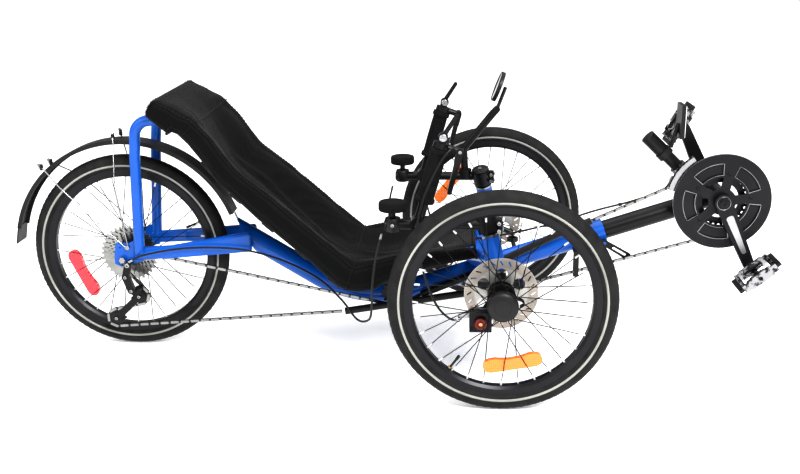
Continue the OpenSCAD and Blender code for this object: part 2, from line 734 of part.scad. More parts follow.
module front_derailleur() from_axle() color(steel) {
    mid = post_foot - post_dir * -88;
    difference() {
        union() {
            aim(mid - post_dir * 9, post_dir) cylinder(h = 18, d = 38);
            rod(mid + [4, -16, -8], [438, ring_y, 478], 12);
        }
        rod(post_foot, post_top, 28.6);
        translate([400, ring_y - 3.2, 430]) cube([90, 6.4, 70]);
    }
    // Cage: an inner and an outer plate over the chain, bent round the big ring
    for (y = [ring_y - 6.2, ring_y + 5.6]) translate([crank_centre.x, y + 2, crank_centre.z]) rotate([90, 0, 0])
        rotate(124) rotate_extrude(angle = 44) translate([109, 0]) square([16, 2]);
    translate([crank_centre.x, ring_y + 7.4, crank_centre.z]) rotate([90, 0, 0]) rotate(138)
        rotate_extrude(angle = 12) translate([123, 0]) square([2.5, 13.4]);
}

// A flat arm between two points of the side view, its ends round, from y_near to y_near - thick
module link_arm(a, b, d, y_near, thick)
    hull() for (p = [a, b]) face_right([p.x, y_near, p.z]) cylinder(h = thick, d = d, $fn = 24);

module rear_derailleur() from_axle() color(black) {
    hanger = [-884, -dropout_y - 3, 236];
    knuckle = [-892, -dropout_y - 3, 205];
    // Hanger bolt and the parallelogram body
    rod([hanger.x, -dropout_y - 2.9, hanger.z], [hanger.x, -96, hanger.z], 16);
    link_arm(hanger, knuckle, 16, -84, 12);
    link_arm(knuckle, [-880, 0, 170], 18, -84, 12);
    rod([upper_jockey_at.x, -84, 165], [upper_jockey_at.x, sprocket_y - 7, 165], 18);
    // Cage plates and the jockey wheels' pins
    for (y = [sprocket_y + 7, sprocket_y - 5])
        link_arm(upper_jockey_at, lower_jockey_at, 17, y, 2);
    link_arm([upper_jockey_at.x, 0, 165], upper_jockey_at, 17, sprocket_y - 5, 2);
    for (c = [upper_jockey_at, lower_jockey_at]) rod([c.x, sprocket_y + 7, c.z], [c.x, sprocket_y - 8, c.z], 6);
}

// ---- Mudguard ----

guard_r = 281;
module rear_mudguard() from_axle() color(black) {
    translate([rear_x, 0, wheel_r]) rotate([90, 0, 0]) rotate(21) rotate_extrude(angle = 146)
        difference() {
            translate([guard_r - 8, -26]) square([10, 52]);
            translate([guard_r - 9, -23.5]) square([8.5, 47]);
        }
    // Flap that flares out behind the wheel
    a = 167;
    top = [rear_x + guard_r * cos(a), 0, wheel_r + guard_r * sin(a)];
    flat_bar([top.x + 2, 0, top.z + 4], [-1180, 0, 268], 56, 3);
}

module wire_stay(path) bent_rod(path, 12, 3.2);

module mudguard_stays() color(steel) for (s = [-1, 1]) on_side(s) {
    rod([-887, -73.05, 274], [-887, -79, 274], 11);
    wire_stay([[-885, -76, 276.5], [-906, -73, 420], [-914, -30, 536]]);
    wire_stay([[-889, -76, 271.5], [-1040, -69, 420], [-1096, -30, 462]]);
    rod([-913.5, -32.8, 528.5], [-915, -26.5, 545.4], 7);
    rod([-1096, -30, 455], [-1104, -30, 470], 7);
    if (s < 0) rod([-637, 0, 342], [-628, 0, 318], 5);
}

// ---- Steering, drawn for the right side ----

arm_end = [58, -262, 198];
caliper_at = [-44, -hub_y - rotor_offset, 184];

module kingpin_part(s) on_side(s) color(black) {
    rod(king(252), king(stem_z - 16), kingpin_d);
    rod(king(head_low - 6), king(236), 38);
    rod([0, -262, wheel_r], [0, -294, wheel_r], 28);
    // Steering arm above the tie rod, with the stud that passes through the rod's eye
    rod([6, -270, wheel_r - 8], arm_end + [0, 0, 18], 14);
    rod(arm_end - [0, 0, 9], arm_end + [0, 0, 18], 6);
    // Arm that carries the caliper
    rod([-4, -272, wheel_r - 2], [-36, -276, 194], 16);
    // Stub axle, with a nut inside the hub cap
    rod([0, -290, wheel_r], [0, -hub_y - 26, wheel_r], 20 - 2 * run);
    rod([0, -hub_y - 22, wheel_r], [0, -hub_y - 29, wheel_r], 28);
}
module right_kingpin() kingpin_part(-1);
module left_kingpin() kingpin_part(1);

module caliper_part(s) on_side(s) color(black) {
    face_right([caliper_at.x, 0, caliper_at.z]) difference() {
        union() {
            translate([-24, -22, 278]) cube([48, 44, 40]);
            translate([0, 0, 264]) cylinder(h = 16, d = 30);
            translate([0, 0, 318]) cylinder(h = 5, d = 28);
        }
        // The gap that the rotor turns in
        translate([-40, -40, hub_y + rotor_offset - 3]) cube([80, 80, 6]);
    }
    // Pin that the cable's arm turns on
    rod([caliper_at.x, -255, caliper_at.z], [caliper_at.x, -270, caliper_at.z], 8 - 2 * run);
    // Bridge over the rotor's edge
    rod([-58, -288, 166], [-58, -302, 166], 16);
}
module right_caliper() caliper_part(-1);
module left_caliper() caliper_part(1);

// The cable pulls this arm on the caliper's inner side
module caliper_arm_part(s) on_side(s) color(steel)
    face_right([caliper_at.x, -256, caliper_at.z]) {
        difference() {
            union() {
                cylinder(h = 7.5, d = 20);
                hull() {
                    translate([0, 0, 0]) cylinder(h = 5, d = 14, $fn = 24);
                    translate([-44, -8, 0]) cylinder(h = 5, d = 10, $fn = 24);
                }
            }
            translate([0, 0, -1]) cylinder(h = 12, d = 8);
        }
    }
module right_caliper_arm() caliper_arm_part(-1);
module left_caliper_arm() caliper_arm_part(1);

grip_foot = [-181, -bar_y, 383];
grip_top = [-130, -bar_y, 560];
grip_dir = unit(grip_top - grip_foot);
shift_pivot = grip_top + grip_dir * 15;

module handlebar_part(s) on_side(s) color(black) {
    stem = king(stem_z);
    // Stem clamp on the kingpin's end, with two bolts in front
    difference() {
        union() {
            aim(king(stem_z - 18), king_dir) cylinder(h = 38, d = 46);
            translate([stem.x + 14, stem.y - 12, stem_z - 16]) cube([18, 24, 30]);
            for (z = [-9, 8]) rod([stem.x + 24, stem.y - 18, stem_z + z], [stem.x + 24, stem.y + 18, stem_z + z], 8);
        }
        rod(king(stem_z - 30), king(stem_z - 16), kingpin_d);
    }
    // Bar back to the wrist rest and the upright grip tube
    rod([stem.x, -bar_y, stem_z], [-252, -bar_y, 380], 22.2);
    rod(grip_foot, shift_pivot - grip_dir * 13.5, 22.2);
    // Cheeks and pin of the shift lever
    for (y = [12.4, -9.4]) hull() {
        face_right(shift_pivot + [0, y, 0]) cylinder(h = 3, d = 17, $fn = 32);
        face_right(shift_pivot - grip_dir * 16 + [0, y, 0]) cylinder(h = 3, d = 17, $fn = 32);
    }
    rod(shift_pivot + [0, 13, 0], shift_pivot - [0, 13, 0], 8 - 2 * run);
    rod(grip_foot - [0, 16, 0], grip_foot + [0, 16, 0], 34);
    // Perch of the brake lever, clamped on the tube above the grip
    aim(grip_top - grip_dir * 9, grip_dir) cylinder(h = 12, d = 34);
    rod(grip_top - grip_dir * 5, grip_top + [46, 0, -18], 15);
    rod(brake_pivot + [0, 14, 0], brake_pivot - [0, 14, 0], 7 - 2 * run);
    if (s > 0) mirror_post();
}

mirror_pivot = [9, 556];           // X and Z of the mirror's joint
module mirror_post() {
    rod([-72, -bar_y, 372], [-72, -bar_y, 398], 34);
    bent_rod([[-72, -bar_y, 390], [-76, -bar_y, 452], [1, -bar_y, 548]], 30, 19);
    // Cheeks and pin of the mirror's joint
    for (y = [11.4, -8.4]) hull() {
        face_right([mirror_pivot.x, -bar_y + y, mirror_pivot.y]) cylinder(h = 3, d = 15, $fn = 32);
        face_right([-4, -bar_y + y, 542]) cylinder(h = 3, d = 15, $fn = 32);
    }
    rod([mirror_pivot.x, -bar_y + 12, mirror_pivot.y], [mirror_pivot.x, -bar_y - 12, mirror_pivot.y], 6 - 2 * run);
}

module right_handlebar() handlebar_part(-1);
module left_handlebar() handlebar_part(1);

module grip_part(s) on_side(s) color(black)
    difference() {
        union() {
            rod(grip_foot + grip_dir * 58, grip_top - grip_dir * 10, 37);
            rod(grip_foot + grip_dir * 52, grip_foot + grip_dir * 62, 43);
            rod(grip_top - grip_dir * 22, grip_top - grip_dir * 10, 43);
        }
        rod(grip_foot, shift_pivot, 22.2);
    }
module right_grip() grip_part(-1);
module left_grip() grip_part(1);

module wrist_rest_part(s) on_side(s) color(black) {
    x = -236;
    difference() {
        union() {
            translate([x, -bar_y, 366]) cylinder(h = 30, d = 34);
            translate([x, -bar_y, 390]) cylinder(h = 26, d = 13);
            translate([x, -bar_y, 412]) cylinder(h = 22, d = 62);
        }
        rod([-260, -bar_y, 380], [-200, -bar_y, 380], 22.2);
    }
}
module right_wrist_rest() wrist_rest_part(-1);
module left_wrist_rest() wrist_rest_part(1);

brake_pivot = grip_top + [40, 0, -16];

module brake_lever_part(s) on_side(s) color(black)
    difference() {
        union() {
            for (y = [13, -9]) hull() {
                face_right(brake_pivot + [0, y, 0]) cylinder(h = 4, d = 16, $fn = 24);
                face_right(brake_pivot + [-6, y, -26]) cylinder(h = 4, d = 14, $fn = 24);
            }
            hull() {
                face_right(brake_pivot + [-6, 13, -26]) cylinder(h = 26, d = 12, $fn = 24);
                face_right(brake_pivot + [-22, 8, -90]) cylinder(h = 16, d = 10, $fn = 24);
            }
        }
        rod(brake_pivot + [0, 20, 0], brake_pivot - [0, 20, 0], 7);
    }
module right_brake_lever() brake_lever_part(-1);
module left_brake_lever() brake_lever_part(1);

// Thumb lever at the grip's end, on a round hub
module shift_lever_part(s) on_side(s) color(steel) difference() {
    union() {
        face_right(shift_pivot + [0, 9, 0]) cylinder(h = 18, d = 21);
        hull() {
            face_right(shift_pivot + [2, -4, 6]) cylinder(h = 5, d = 10, $fn = 24);
            face_right(shift_pivot + [28, -4, 46]) cylinder(h = 5, d = 9, $fn = 24);
        }
    }
    rod(shift_pivot + [0, 20, 0], shift_pivot - [0, 20, 0], 8);
}
module right_shift_lever() shift_lever_part(-1);
module left_shift_lever() shift_lever_part(1);

// Housing from the brake perch, behind the grip and the bar, down and forward to the caliper
brake_route = [
    [-103, -246, 551], [-112, -256, 550], [-130, -264, 528], [-150, -266, 490], [-170, -264, 440],
    [-182, -264, 380], [-178, -262, 320], [-160, -258, 250], [-138, -262, 200], [-112, -266, 174],
    [-92, -270, 170]
];
module brake_cable_part(s) on_side(s) color(black) cable(smooth(brake_route, 5), 5);
module right_brake_cable() brake_cable_part(-1);
module left_brake_cable() brake_cable_part(1);

module left_mirror() on_side(1) color(black) {
    difference() {
        union() {
            face_right([mirror_pivot.x, -bar_y + 8, mirror_pivot.y]) cylinder(h = 16, d = 15);
            rod([mirror_pivot.x + 2, -bar_y, mirror_pivot.y + 5], [30, -bar_y, 612], 9);
        }
        rod([mirror_pivot.x, -bar_y + 20, mirror_pivot.y], [mirror_pivot.x, -bar_y - 20, mirror_pivot.y], 6);
    }
    aim([16, -bar_y, 612], [-0.93, 0, 0.36]) cylinder(h = 8, d = 78);
}

module tie_rod() from_axle() color(black) {
    rod([arm_end.x, arm_end.y + 14, arm_end.z], [arm_end.x, -arm_end.y - 14, arm_end.z], 12);
    for (s = [-1, 1]) translate([arm_end.x, s * -arm_end.y, arm_end.z - 5]) difference() {
        cylinder(h = 10, d = 30);
        translate([0, 0, -1]) cylinder(h = 12, d = 20);
    }
}

// Housing of the rear shifter, from the loop beside the seat along the frame, and of the front one
rear_shift_route = [
    [-262, -225, 355], [-276, -215, 300], [-286, -205, 230], [-290, -190, 165], [-300, -165, 128],
    [-330, -130, 116], [-370, -90, 150], [-430, -62, 195], [-520, -58, 240], [-620, -64, 268],
    [-740, -84, 276], [-840, -96, 262], [-880, -98, 244]
];
front_shift_route = [
    [-262, 225, 355], [-272, 212, 300], [-262, 188, 240], [-215, 140, 215], [-140, 76, 238],
    [-90, 48, 262], [-40, 38, 268], [20, 31, 279], [140, 29, 308], [240, 30, 341], [330, 30, 366],
    [400, 28, 394], [420, 27, 428]
];
module shift_cables() from_axle() color(black) {
    cable(smooth(rear_shift_route, 5), 5);
    cable(smooth(front_shift_route, 5), 5);
}

// ---- Nodes ----

main_tube();
cross_member();
rear_stays();
seat_frame();
seat_sling();
headset_cups();
boom();
boom_lever();
accessory_post();
front_reflector();
front_derailleur();
rear_derailleur();
upper_jockey();
lower_jockey();
power_idler();
chain();
chain_tubes();
shift_cables();
rear_mudguard();
mudguard_stays();
crank_arms();
chainrings();
right_pedal();
left_pedal();
cassette();
rear_tyre();
rear_rim();
rear_hub();
rear_reflector();
tie_rod();
right_tyre();
right_rim();
right_hub();
right_rotor();
right_reflector();
right_kingpin();
right_handlebar();
right_grip();
right_wrist_rest();
right_brake_lever();
right_shift_lever();
right_caliper();
right_caliper_arm();
right_brake_cable();
left_tyre();
left_rim();
left_hub();
left_rotor();
left_reflector();
left_kingpin();
left_handlebar();
left_grip();
left_wrist_rest();
left_brake_lever();
left_shift_lever();
left_caliper();
left_caliper_arm();
left_brake_cable();
left_mirror();
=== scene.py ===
"""Looks of the recumbent tricycle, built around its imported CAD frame. Metres, +X forward, +Z up."""

import json
import math

import bpy
from mathutils import Matrix, Vector


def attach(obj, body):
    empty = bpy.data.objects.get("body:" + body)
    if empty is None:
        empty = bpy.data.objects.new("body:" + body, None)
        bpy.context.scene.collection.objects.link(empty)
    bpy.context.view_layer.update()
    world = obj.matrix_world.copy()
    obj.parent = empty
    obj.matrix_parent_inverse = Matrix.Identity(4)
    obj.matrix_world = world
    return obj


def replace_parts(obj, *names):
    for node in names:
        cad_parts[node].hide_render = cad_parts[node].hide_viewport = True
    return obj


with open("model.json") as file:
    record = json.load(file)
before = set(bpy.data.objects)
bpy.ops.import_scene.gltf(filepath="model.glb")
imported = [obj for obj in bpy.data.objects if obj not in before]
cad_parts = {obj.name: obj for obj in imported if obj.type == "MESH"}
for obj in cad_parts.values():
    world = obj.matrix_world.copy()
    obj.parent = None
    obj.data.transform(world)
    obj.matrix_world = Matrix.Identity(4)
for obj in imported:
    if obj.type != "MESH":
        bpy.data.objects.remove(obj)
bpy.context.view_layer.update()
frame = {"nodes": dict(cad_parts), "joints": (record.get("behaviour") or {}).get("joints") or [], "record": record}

MM = 0.001
JOINTS = {joint["name"]: joint for joint in frame["joints"]}
FRONT_CENTRE = JOINTS["right_wheel_spin"]["pos_m"]
REAR_CENTRE = JOINTS["rear_wheel_spin"]["pos_m"]
FRONT_AXLE_X = FRONT_CENTRE[0]
WHEEL_R = FRONT_CENTRE[2]
X, Y, Z = Vector((1, 0, 0)), Vector((0, 1, 0)), Vector((0, 0, 1))
OUT = Vector((0, -1, 0))                    # away from the middle plane, on the right side
SIDES = (("right", False), ("left", True))  # with whether a piece made for the right side is mirrored


def at(x, y, z):
    """A point given in mm from the ground under the middle of the front axle line, as CAD does."""
    return Vector((FRONT_AXLE_X + x * MM, y * MM, z * MM))


def facing(angle):
    """The direction in the side view at an angle from forward, turning up."""
    return Vector((math.cos(angle), 0, math.sin(angle)))


# The cranks' centre, the right arm's direction and the arms' length
CRANK_X, CRANK_Z = 518.3, 387.3
CRANK_CENTRE = at(CRANK_X, 0, CRANK_Z)
CRANK_ANGLE = math.radians(-65)
CRANK_WAY = facing(CRANK_ANGLE)
CRANK_MM = 165


# ---- Camera ----

CAMERA_MM = (-111, -2353, 988)
CAMERA_TURNS_DEG = (3.41, 16.35, -0.73)     # yaw to the left, pitch down and roll


def add_camera():
    """The view of the right side, from a little above."""
    yaw, pitch, roll = (math.radians(turn) for turn in CAMERA_TURNS_DEG)
    ahead = Vector((-math.sin(yaw) * math.cos(pitch), math.cos(yaw) * math.cos(pitch), -math.sin(pitch)))
    level = Vector((math.cos(yaw), math.sin(yaw), 0))
    above = level.cross(ahead)
    right = level * math.cos(roll) + above * math.sin(roll)
    up = above * math.cos(roll) - level * math.sin(roll)
    turned = Matrix((right, up, -ahead)).transposed().to_4x4()
    data = bpy.data.cameras.new("camera")
    data.sensor_width = 36
    data.lens = 45.3
    data.shift_x = 0.0096
    data.shift_y = -0.0076
    camera = bpy.data.objects.new("camera", data)
    camera.matrix_world = Matrix.Translation(at(*CAMERA_MM)) @ turned
    bpy.context.scene.collection.objects.link(camera)
    bpy.context.scene.camera = camera


add_camera()


# ---- Materials ----

class Nodes:
    """Short calls for building one node material."""

    def __init__(self, name):
        self.material = bpy.data.materials.new(name)
        self.material.use_nodes = True
        self.tree = self.material.node_tree
        self.shader = next(n for n in self.tree.nodes if n.type == "BSDF_PRINCIPLED")
        self.place = self.add("ShaderNodeTexCoord").outputs["Object"]

    def add(self, kind, **values):
        node = self.tree.nodes.new(kind)
        for key, value in values.items():
            if hasattr(node, key) and key not in node.inputs:
                setattr(node, key, value)
            else:
                node.inputs[key].default_value = value
        return node

    def link(self, source, target):
        self.tree.links.new(source, target)

    def noise(self, scale, detail=4, rough=0.5):
        node = self.add("ShaderNodeTexNoise", Scale=scale, Detail=detail, Roughness=rough)
        self.link(self.place, node.inputs["Vector"])
        return node.outputs["Fac"]

    def ramp(self, value, stops):
        node = self.add("ShaderNodeValToRGB")
        self.link(value, node.inputs["Fac"])
        ramp = node.color_ramp
        while len(ramp.elements) < len(stops):
            ramp.elements.new(0.5)
        for element, (position, colour) in zip(ramp.elements, stops):
            element.position = position
            element.color = (*colour, 1)
        return node.outputs["Color"]

    def scaled(self, value, low, high):
        node = self.add("ShaderNodeMapRange")
        self.link(value, node.inputs["Value"])
        node.inputs["To Min"].default_value = low
        node.inputs["To Max"].default_value = high
        return node.outputs["Result"]

    def math(self, how, a, b=None):
        node = self.tree.nodes.new("ShaderNodeMath")
        node.operation = how
        for socket, value in zip(node.inputs, (a, b)):
            if value is None:
                continue
            if isinstance(value, (int, float)):
                socket.default_value = value
            else:
                self.link(value, socket)
        return node.outputs[0]

    def mix(self, factor, a, b):
        node = self.tree.nodes.new("ShaderNodeMix")
        node.data_type = "RGBA"
        self.link(factor, node.inputs["Factor"])
        for socket, value in ((node.inputs["A"], a), (node.inputs["B"], b)):
            if isinstance(value, tuple):
                socket.default_value = (*value, 1)
            else:
                self.link(value, socket)
        return node.outputs["Result"]

    def bump(self, height, distance, strength=1.0):
        node = self.add("ShaderNodeBump", Distance=distance, Strength=strength)
        self.link(height, node.inputs["Height"])
        self.link(node.outputs["Normal"], self.shader.inputs["Normal"])

    def set(self, **values):
        for key, value in values.items():
            socket = self.shader.inputs[key.replace("_", " ")]
            if isinstance(value, bpy.types.NodeSocket):
                self.link(value, socket)
            elif isinstance(value, tuple):
                socket.default_value = (*value, 1)
            else:
                socket.default_value = value
        return self.material


def shade(colour, factor):
    """A colour made darker or lighter by a factor."""
    return tuple(min(1, c * factor) for c in colour)


def paint(name, colour, rough, metal=0.0, coat=0.0, grain=900, depth=0.00004, vary=0.18, wear=0.0):
    """Paint, anodising or plastic: cloudy colour, uneven gloss, fine grain and scattered light scratches."""
    n = Nodes(name)
    cloud = n.noise(9, 5)
    base = n.ramp(cloud, [(0.3, shade(colour, 1 - vary)), (0.7, shade(colour, 1 + vary))])
    if wear:
        rubbed = n.ramp(n.noise(150, 8, 0.75), [(0.66, (0, 0, 0)), (0.72, (1, 1, 1))])
        base = n.mix(n.math("MULTIPLY", rubbed, wear), base, (0.42, 0.42, 0.43))
    n.bump(n.noise(grain, 3), depth)
    return n.set(Base_Color=base, Roughness=n.scaled(n.noise(40, 4), rough * 0.8, rough * 1.25),
                 Metallic=metal, Coat_Weight=coat, Coat_Roughness=0.06, Specular_IOR_Level=0.32)


def bare(name, colour, rough, scale):
    """Bare metal, unevenly polished in patches of the given noise scale."""
    n = Nodes(name)
    patches = n.noise(scale, 4, 0.6)
    base = n.ramp(n.noise(25, 4), [(0.3, shade(colour, 0.8)), (0.7, shade(colour, 1.08))])
    n.bump(patches, 0.00003)
    return n.set(Base_Color=base, Roughness=n.scaled(patches, rough * 0.7, rough * 1.35), Metallic=1.0)


def fabric(name, colour, light, cell=0.0016):
    """Open woven mesh: crossed threads with small dark holes between them."""
    n = Nodes(name)
    waves = 0.5 / cell / math.pi
    across = n.add("ShaderNodeTexWave", bands_direction="Y", Scale=waves, Distortion=0.4)
    along = n.add("ShaderNodeTexWave", bands_direction="DIAGONAL", Scale=waves, Distortion=0.4)
    for wave in (across, along):
        n.link(n.place, wave.inputs["Vector"])
        wave.inputs["Detail Scale"].default_value = 2
    thread = n.math("MAXIMUM", across.outputs["Fac"], along.outputs["Fac"])
    cloud = n.noise(14, 5)
    worn = n.mix(cloud, colour, light)
    base = n.mix(n.ramp(thread, [(0.35, (0, 0, 0)), (0.7, (1, 1, 1))]), shade(colour, 0.35), worn)
    n.bump(thread, 0.0005, 0.9)
    return n.set(Base_Color=base, Roughness=n.scaled(cloud, 0.78, 0.95), Specular_IOR_Level=0.12,
                 Sheen_Weight=0.1, Sheen_Roughness=0.35)


def foam(name, colour):
    """Closed-cell foam: dull, with small pores."""
    n = Nodes(name)
    cells = n.add("ShaderNodeTexVoronoi", Scale=1300)
    n.link(n.place, cells.inputs["Vector"])
    base = n.ramp(n.noise(60, 6), [(0.3, shade(colour, 0.7)), (0.75, shade(colour, 1.6))])
    n.bump(cells.outputs["Distance"], 0.0004, 0.8)
    return n.set(Base_Color=base, Roughness=n.scaled(n.noise(300, 2), 0.8, 0.95), Specular_IOR_Level=0.2)


def prism(name, colour, bright, cell=0.0042):
    """Moulded reflector plastic with rows of small corner prisms, a painted glint in each and a faint painted
    glow.
    """
    n = Nodes(name)
    cells = n.add("ShaderNodeTexVoronoi", Scale=1 / cell, Randomness=0.0)
    n.link(n.place, cells.inputs["Vector"])
    near = cells.outputs["Distance"]
    # Painted glints: a dot of the glint colour in the middle of every prism cell
    base = n.mix(n.ramp(near, [(0.1, (1, 1, 1)), (0.32, (0, 0, 0))]), colour, bright)
    n.bump(near, 0.001, 0.8)
    # Painted glow: the plastic gives off a little light in its own colour
    return n.set(Base_Color=base, Roughness=n.scaled(n.noise(80), 0.06, 0.16), Coat_Weight=0.6,
                 Emission_Color=colour, Emission_Strength=0.12)


def distance_from_axle(n, centre):
    """How far a point is from a wheel's axle line, as a node output in metres."""
    away = n.add("ShaderNodeVectorMath", operation="SUBTRACT")
    n.link(n.place, away.inputs[0])
    away.inputs[1].default_value = centre
    flat = n.add("ShaderNodeVectorMath", operation="MULTIPLY")
    n.link(away.outputs[0], flat.inputs[0])
    flat.inputs[1].default_value = (1, 0, 1)
    size = n.add("ShaderNodeVectorMath", operation="LENGTH")
    n.link(flat.outputs[0], size.inputs[0])
    return size.outputs["Value"]


NIPPLES_FROM = 0.1775       # distance from the axle, in metres


def spoked_hub(name, centre):
    """Black hub and spokes, with bright nipples next to the rim."""
    n = Nodes(name)
    away = distance_from_axle(n, centre)
    nipple = n.math("GREATER_THAN", away, NIPPLES_FROM)
    dark = n.ramp(n.noise(60), [(0.3, (0.004, 0.004, 0.0045)), (0.7, (0.009, 0.009, 0.0095))])
    n.bump(n.noise(700, 3), 0.00004)
    return n.set(Base_Color=n.mix(nipple, dark, (0.6, 0.6, 0.61)), Metallic=0.3,
                 Roughness=n.scaled(n.noise(50), 0.3, 0.42), Specular_IOR_Level=0.2)


def rotor(name, centre):
    """Brake disc: turned lines round the axle, and a darker worn band where the pads rub."""
    n = Nodes(name)
    away = distance_from_axle(n, centre)
    rings = n.math("SINE", n.math("MULTIPLY", away, 9000.0))
    plain, worn = (0.42, 0.41, 0.39), (0.30, 0.27, 0.24)
    # The band's edges are in decimetres from the axle
    band = n.ramp(n.math("MULTIPLY", away, 10.0), [(0.55, plain), (0.6, worn), (0.78, worn), (0.8, plain)])
    n.bump(rings, 0.00002)
    return n.set(Base_Color=band, Metallic=1.0, Roughness=n.scaled(n.noise(120), 0.24, 0.4))


def rubber(name, colour, light):
    """Dull tyre rubber with paler, dusty patches."""
    n = Nodes(name)
    base = n.ramp(n.noise(45, 6), [(0.3, shade(colour, 0.75)), (0.75, light)])
    n.bump(n.noise(1200, 3), 0.0002, 0.6)
    return n.set(Base_Color=base, Roughness=n.scaled(n.noise(90), 0.62, 0.85), Specular_IOR_Level=0.25)


def cast_metal():
    """Cast pedal bodies: patches of bright metal with near-black metal between them, spread at random."""
    n = Nodes("cast_metal")
    patches = n.ramp(n.noise(55, 3, 0.6), [(0.42, (0.03, 0.03, 0.032)), (0.5, (0.34, 0.34, 0.35))])
    n.bump(n.noise(700, 3), 0.00006)
    return n.set(Base_Color=patches, Metallic=1.0, Roughness=n.scaled(n.noise(90), 0.26, 0.42))


def mirror_glass():
    """Silvered glass with a faint haze."""
    n = Nodes("mirror_glass")
    haze = n.noise(30, 3)
    n.bump(n.noise(6, 2), 0.00005)
    base = n.ramp(haze, [(0.3, (0.82, 0.85, 0.88)), (0.7, (0.9, 0.92, 0.94))])
    return n.set(Base_Color=base, Metallic=1.0, Roughness=n.scaled(haze, 0.015, 0.035))


BLACK = (0.007, 0.007, 0.008)
FINISHES = {
    "frame_paint": paint("blue_paint", (0.001, 0.088, 0.40), 0.3, coat=0.2, grain=500, depth=0.00002,
                         vary=0.12),
    "black_metal": paint("black_anodised", BLACK, 0.34, metal=0.25, wear=0.12),
    "rim_black": paint("rim_black", (0.016, 0.016, 0.018), 0.3, metal=0.5, wear=0.06),
    "ring_black": paint("ring_black", (0.02, 0.02, 0.022), 0.36, metal=0.7, wear=0.3),
    "aluminium": bare("aluminium", (0.40, 0.40, 0.41), 0.3, 40),
    "steel": bare("bright_steel", (0.33, 0.33, 0.34), 0.24, 60),
    "chain_steel": bare("chain_steel", (0.30, 0.30, 0.29), 0.3, 90),
    "chain_dark": bare("chain_dark", (0.05, 0.048, 0.046), 0.4, 90),
    "rotor_steel": rotor("rotor", at(0, 0, WHEEL_R / MM)),
    "tyre": rubber("tyre_rubber", (0.009, 0.009, 0.009), (0.02, 0.0195, 0.019)),
    "foam": foam("foam", (0.005, 0.005, 0.0055)),
    "seat_mesh": fabric("seat_mesh", (0.0035, 0.0035, 0.004), (0.009, 0.0095, 0.0095)),
    "black_plastic": paint("black_plastic", (0.008, 0.008, 0.008), 0.42, grain=1400, depth=0.00012),
    "cable_housing": paint("cable_housing", (0.01, 0.01, 0.01), 0.35, grain=2000),
    "amber_reflector": prism("amber", (1.0, 0.19, 0.006), (1.0, 0.62, 0.3)),
    "red_reflector": prism("red", (0.78, 0.012, 0.03), (1.0, 0.62, 0.6)),
    "white_reflector": paint("bracket_black", BLACK, 0.4, grain=1200, depth=0.0001),
    "stripe": paint("stripe", (0.30, 0.30, 0.28), 0.7, grain=900, depth=0.0001),
    "brass": bare("brass", (0.72, 0.5, 0.22), 0.28, 80),
    "knob_red": paint("knob_red", (0.16, 0.008, 0.008), 0.35, metal=0.5, coat=0.3),
    "webbing": fabric("webbing", (0.005, 0.005, 0.006), (0.011, 0.011, 0.012), cell=0.0009),
    "thread": paint("thread", (0.018, 0.018, 0.019), 0.8, grain=3000, depth=0.0002),
    "lens": prism("lens", (0.82, 0.84, 0.86), (1.0, 1.0, 1.0), cell=0.0035),
    "mirror": mirror_glass(),
    "cast_metal": cast_metal(),
}


def dress(node, material):
    """Gives a CAD node its finish."""
    item = frame["nodes"][node]
    if not item.material_slots:
        item.data.materials.append(material)
    for material_slot in item.material_slots:
        material_slot.material = material


for subpart in frame["record"]["subparts"]:
    dress(subpart["node"], FINISHES[subpart["material_slot"]])
dress("rear_hub", spoked_hub("rear_spokes", REAR_CENTRE))
for side in ("right", "left"):
    dress(f"{side}_hub", spoked_hub(f"{side}_spokes", FRONT_CENTRE))
    dress(f"{side}_shift_lever", FINISHES["black_metal"])
    dress(f"{side}_pedal", FINISHES["cast_metal"])


# ---- Building pieces ----

def frame_about(axis):
    """Two directions square to axis and to each other."""
    axis = axis.normalized()
    side = axis.orthogonal().normalized() if abs(axis.y) < 0.999 else X
    return side, axis.cross(side)


def catmull(points):
    """Points on a smooth curve through the given ones."""
    steps = 8
    made = []
    for i in range(len(points) - 1):
        a, b = points[max(i - 1, 0)], points[i]
        c, d = points[i + 1], points[min(i + 2, len(points) - 1)]
        for k in range(steps):
            t = k / steps
            made.append(0.5 * (2 * b + (c - a) * t + (2 * a - 5 * b + 4 * c - d) * t * t
                               + (3 * b - a - 3 * c + d) * t ** 3))
    made.append(points[-1])
    return made


def rounded(points, radius):
    """A line with its corners rounded to arcs of the given radius, with a point every 6 degrees."""
    made = [points[0]]
    for a, b, c in zip(points, points[1:], points[2:]):
        back, on = (a - b).normalized(), (c - b).normalized()
        corner = back.angle(on)
        sweep = math.pi - corner
        reach = radius / math.tan(corner / 2)
        centre = b + (back + on).normalized() * (radius / math.sin(corner / 2))
        start = b + back * reach - centre
        turn = start.cross(b + on * reach - centre).normalized()
        count = max(2, round(math.degrees(sweep) / 6))
        for k in range(count + 1):
            made.append(centre + Matrix.Rotation(sweep * k / count, 3, turn) @ start)
    made.append(points[-1])
    return made


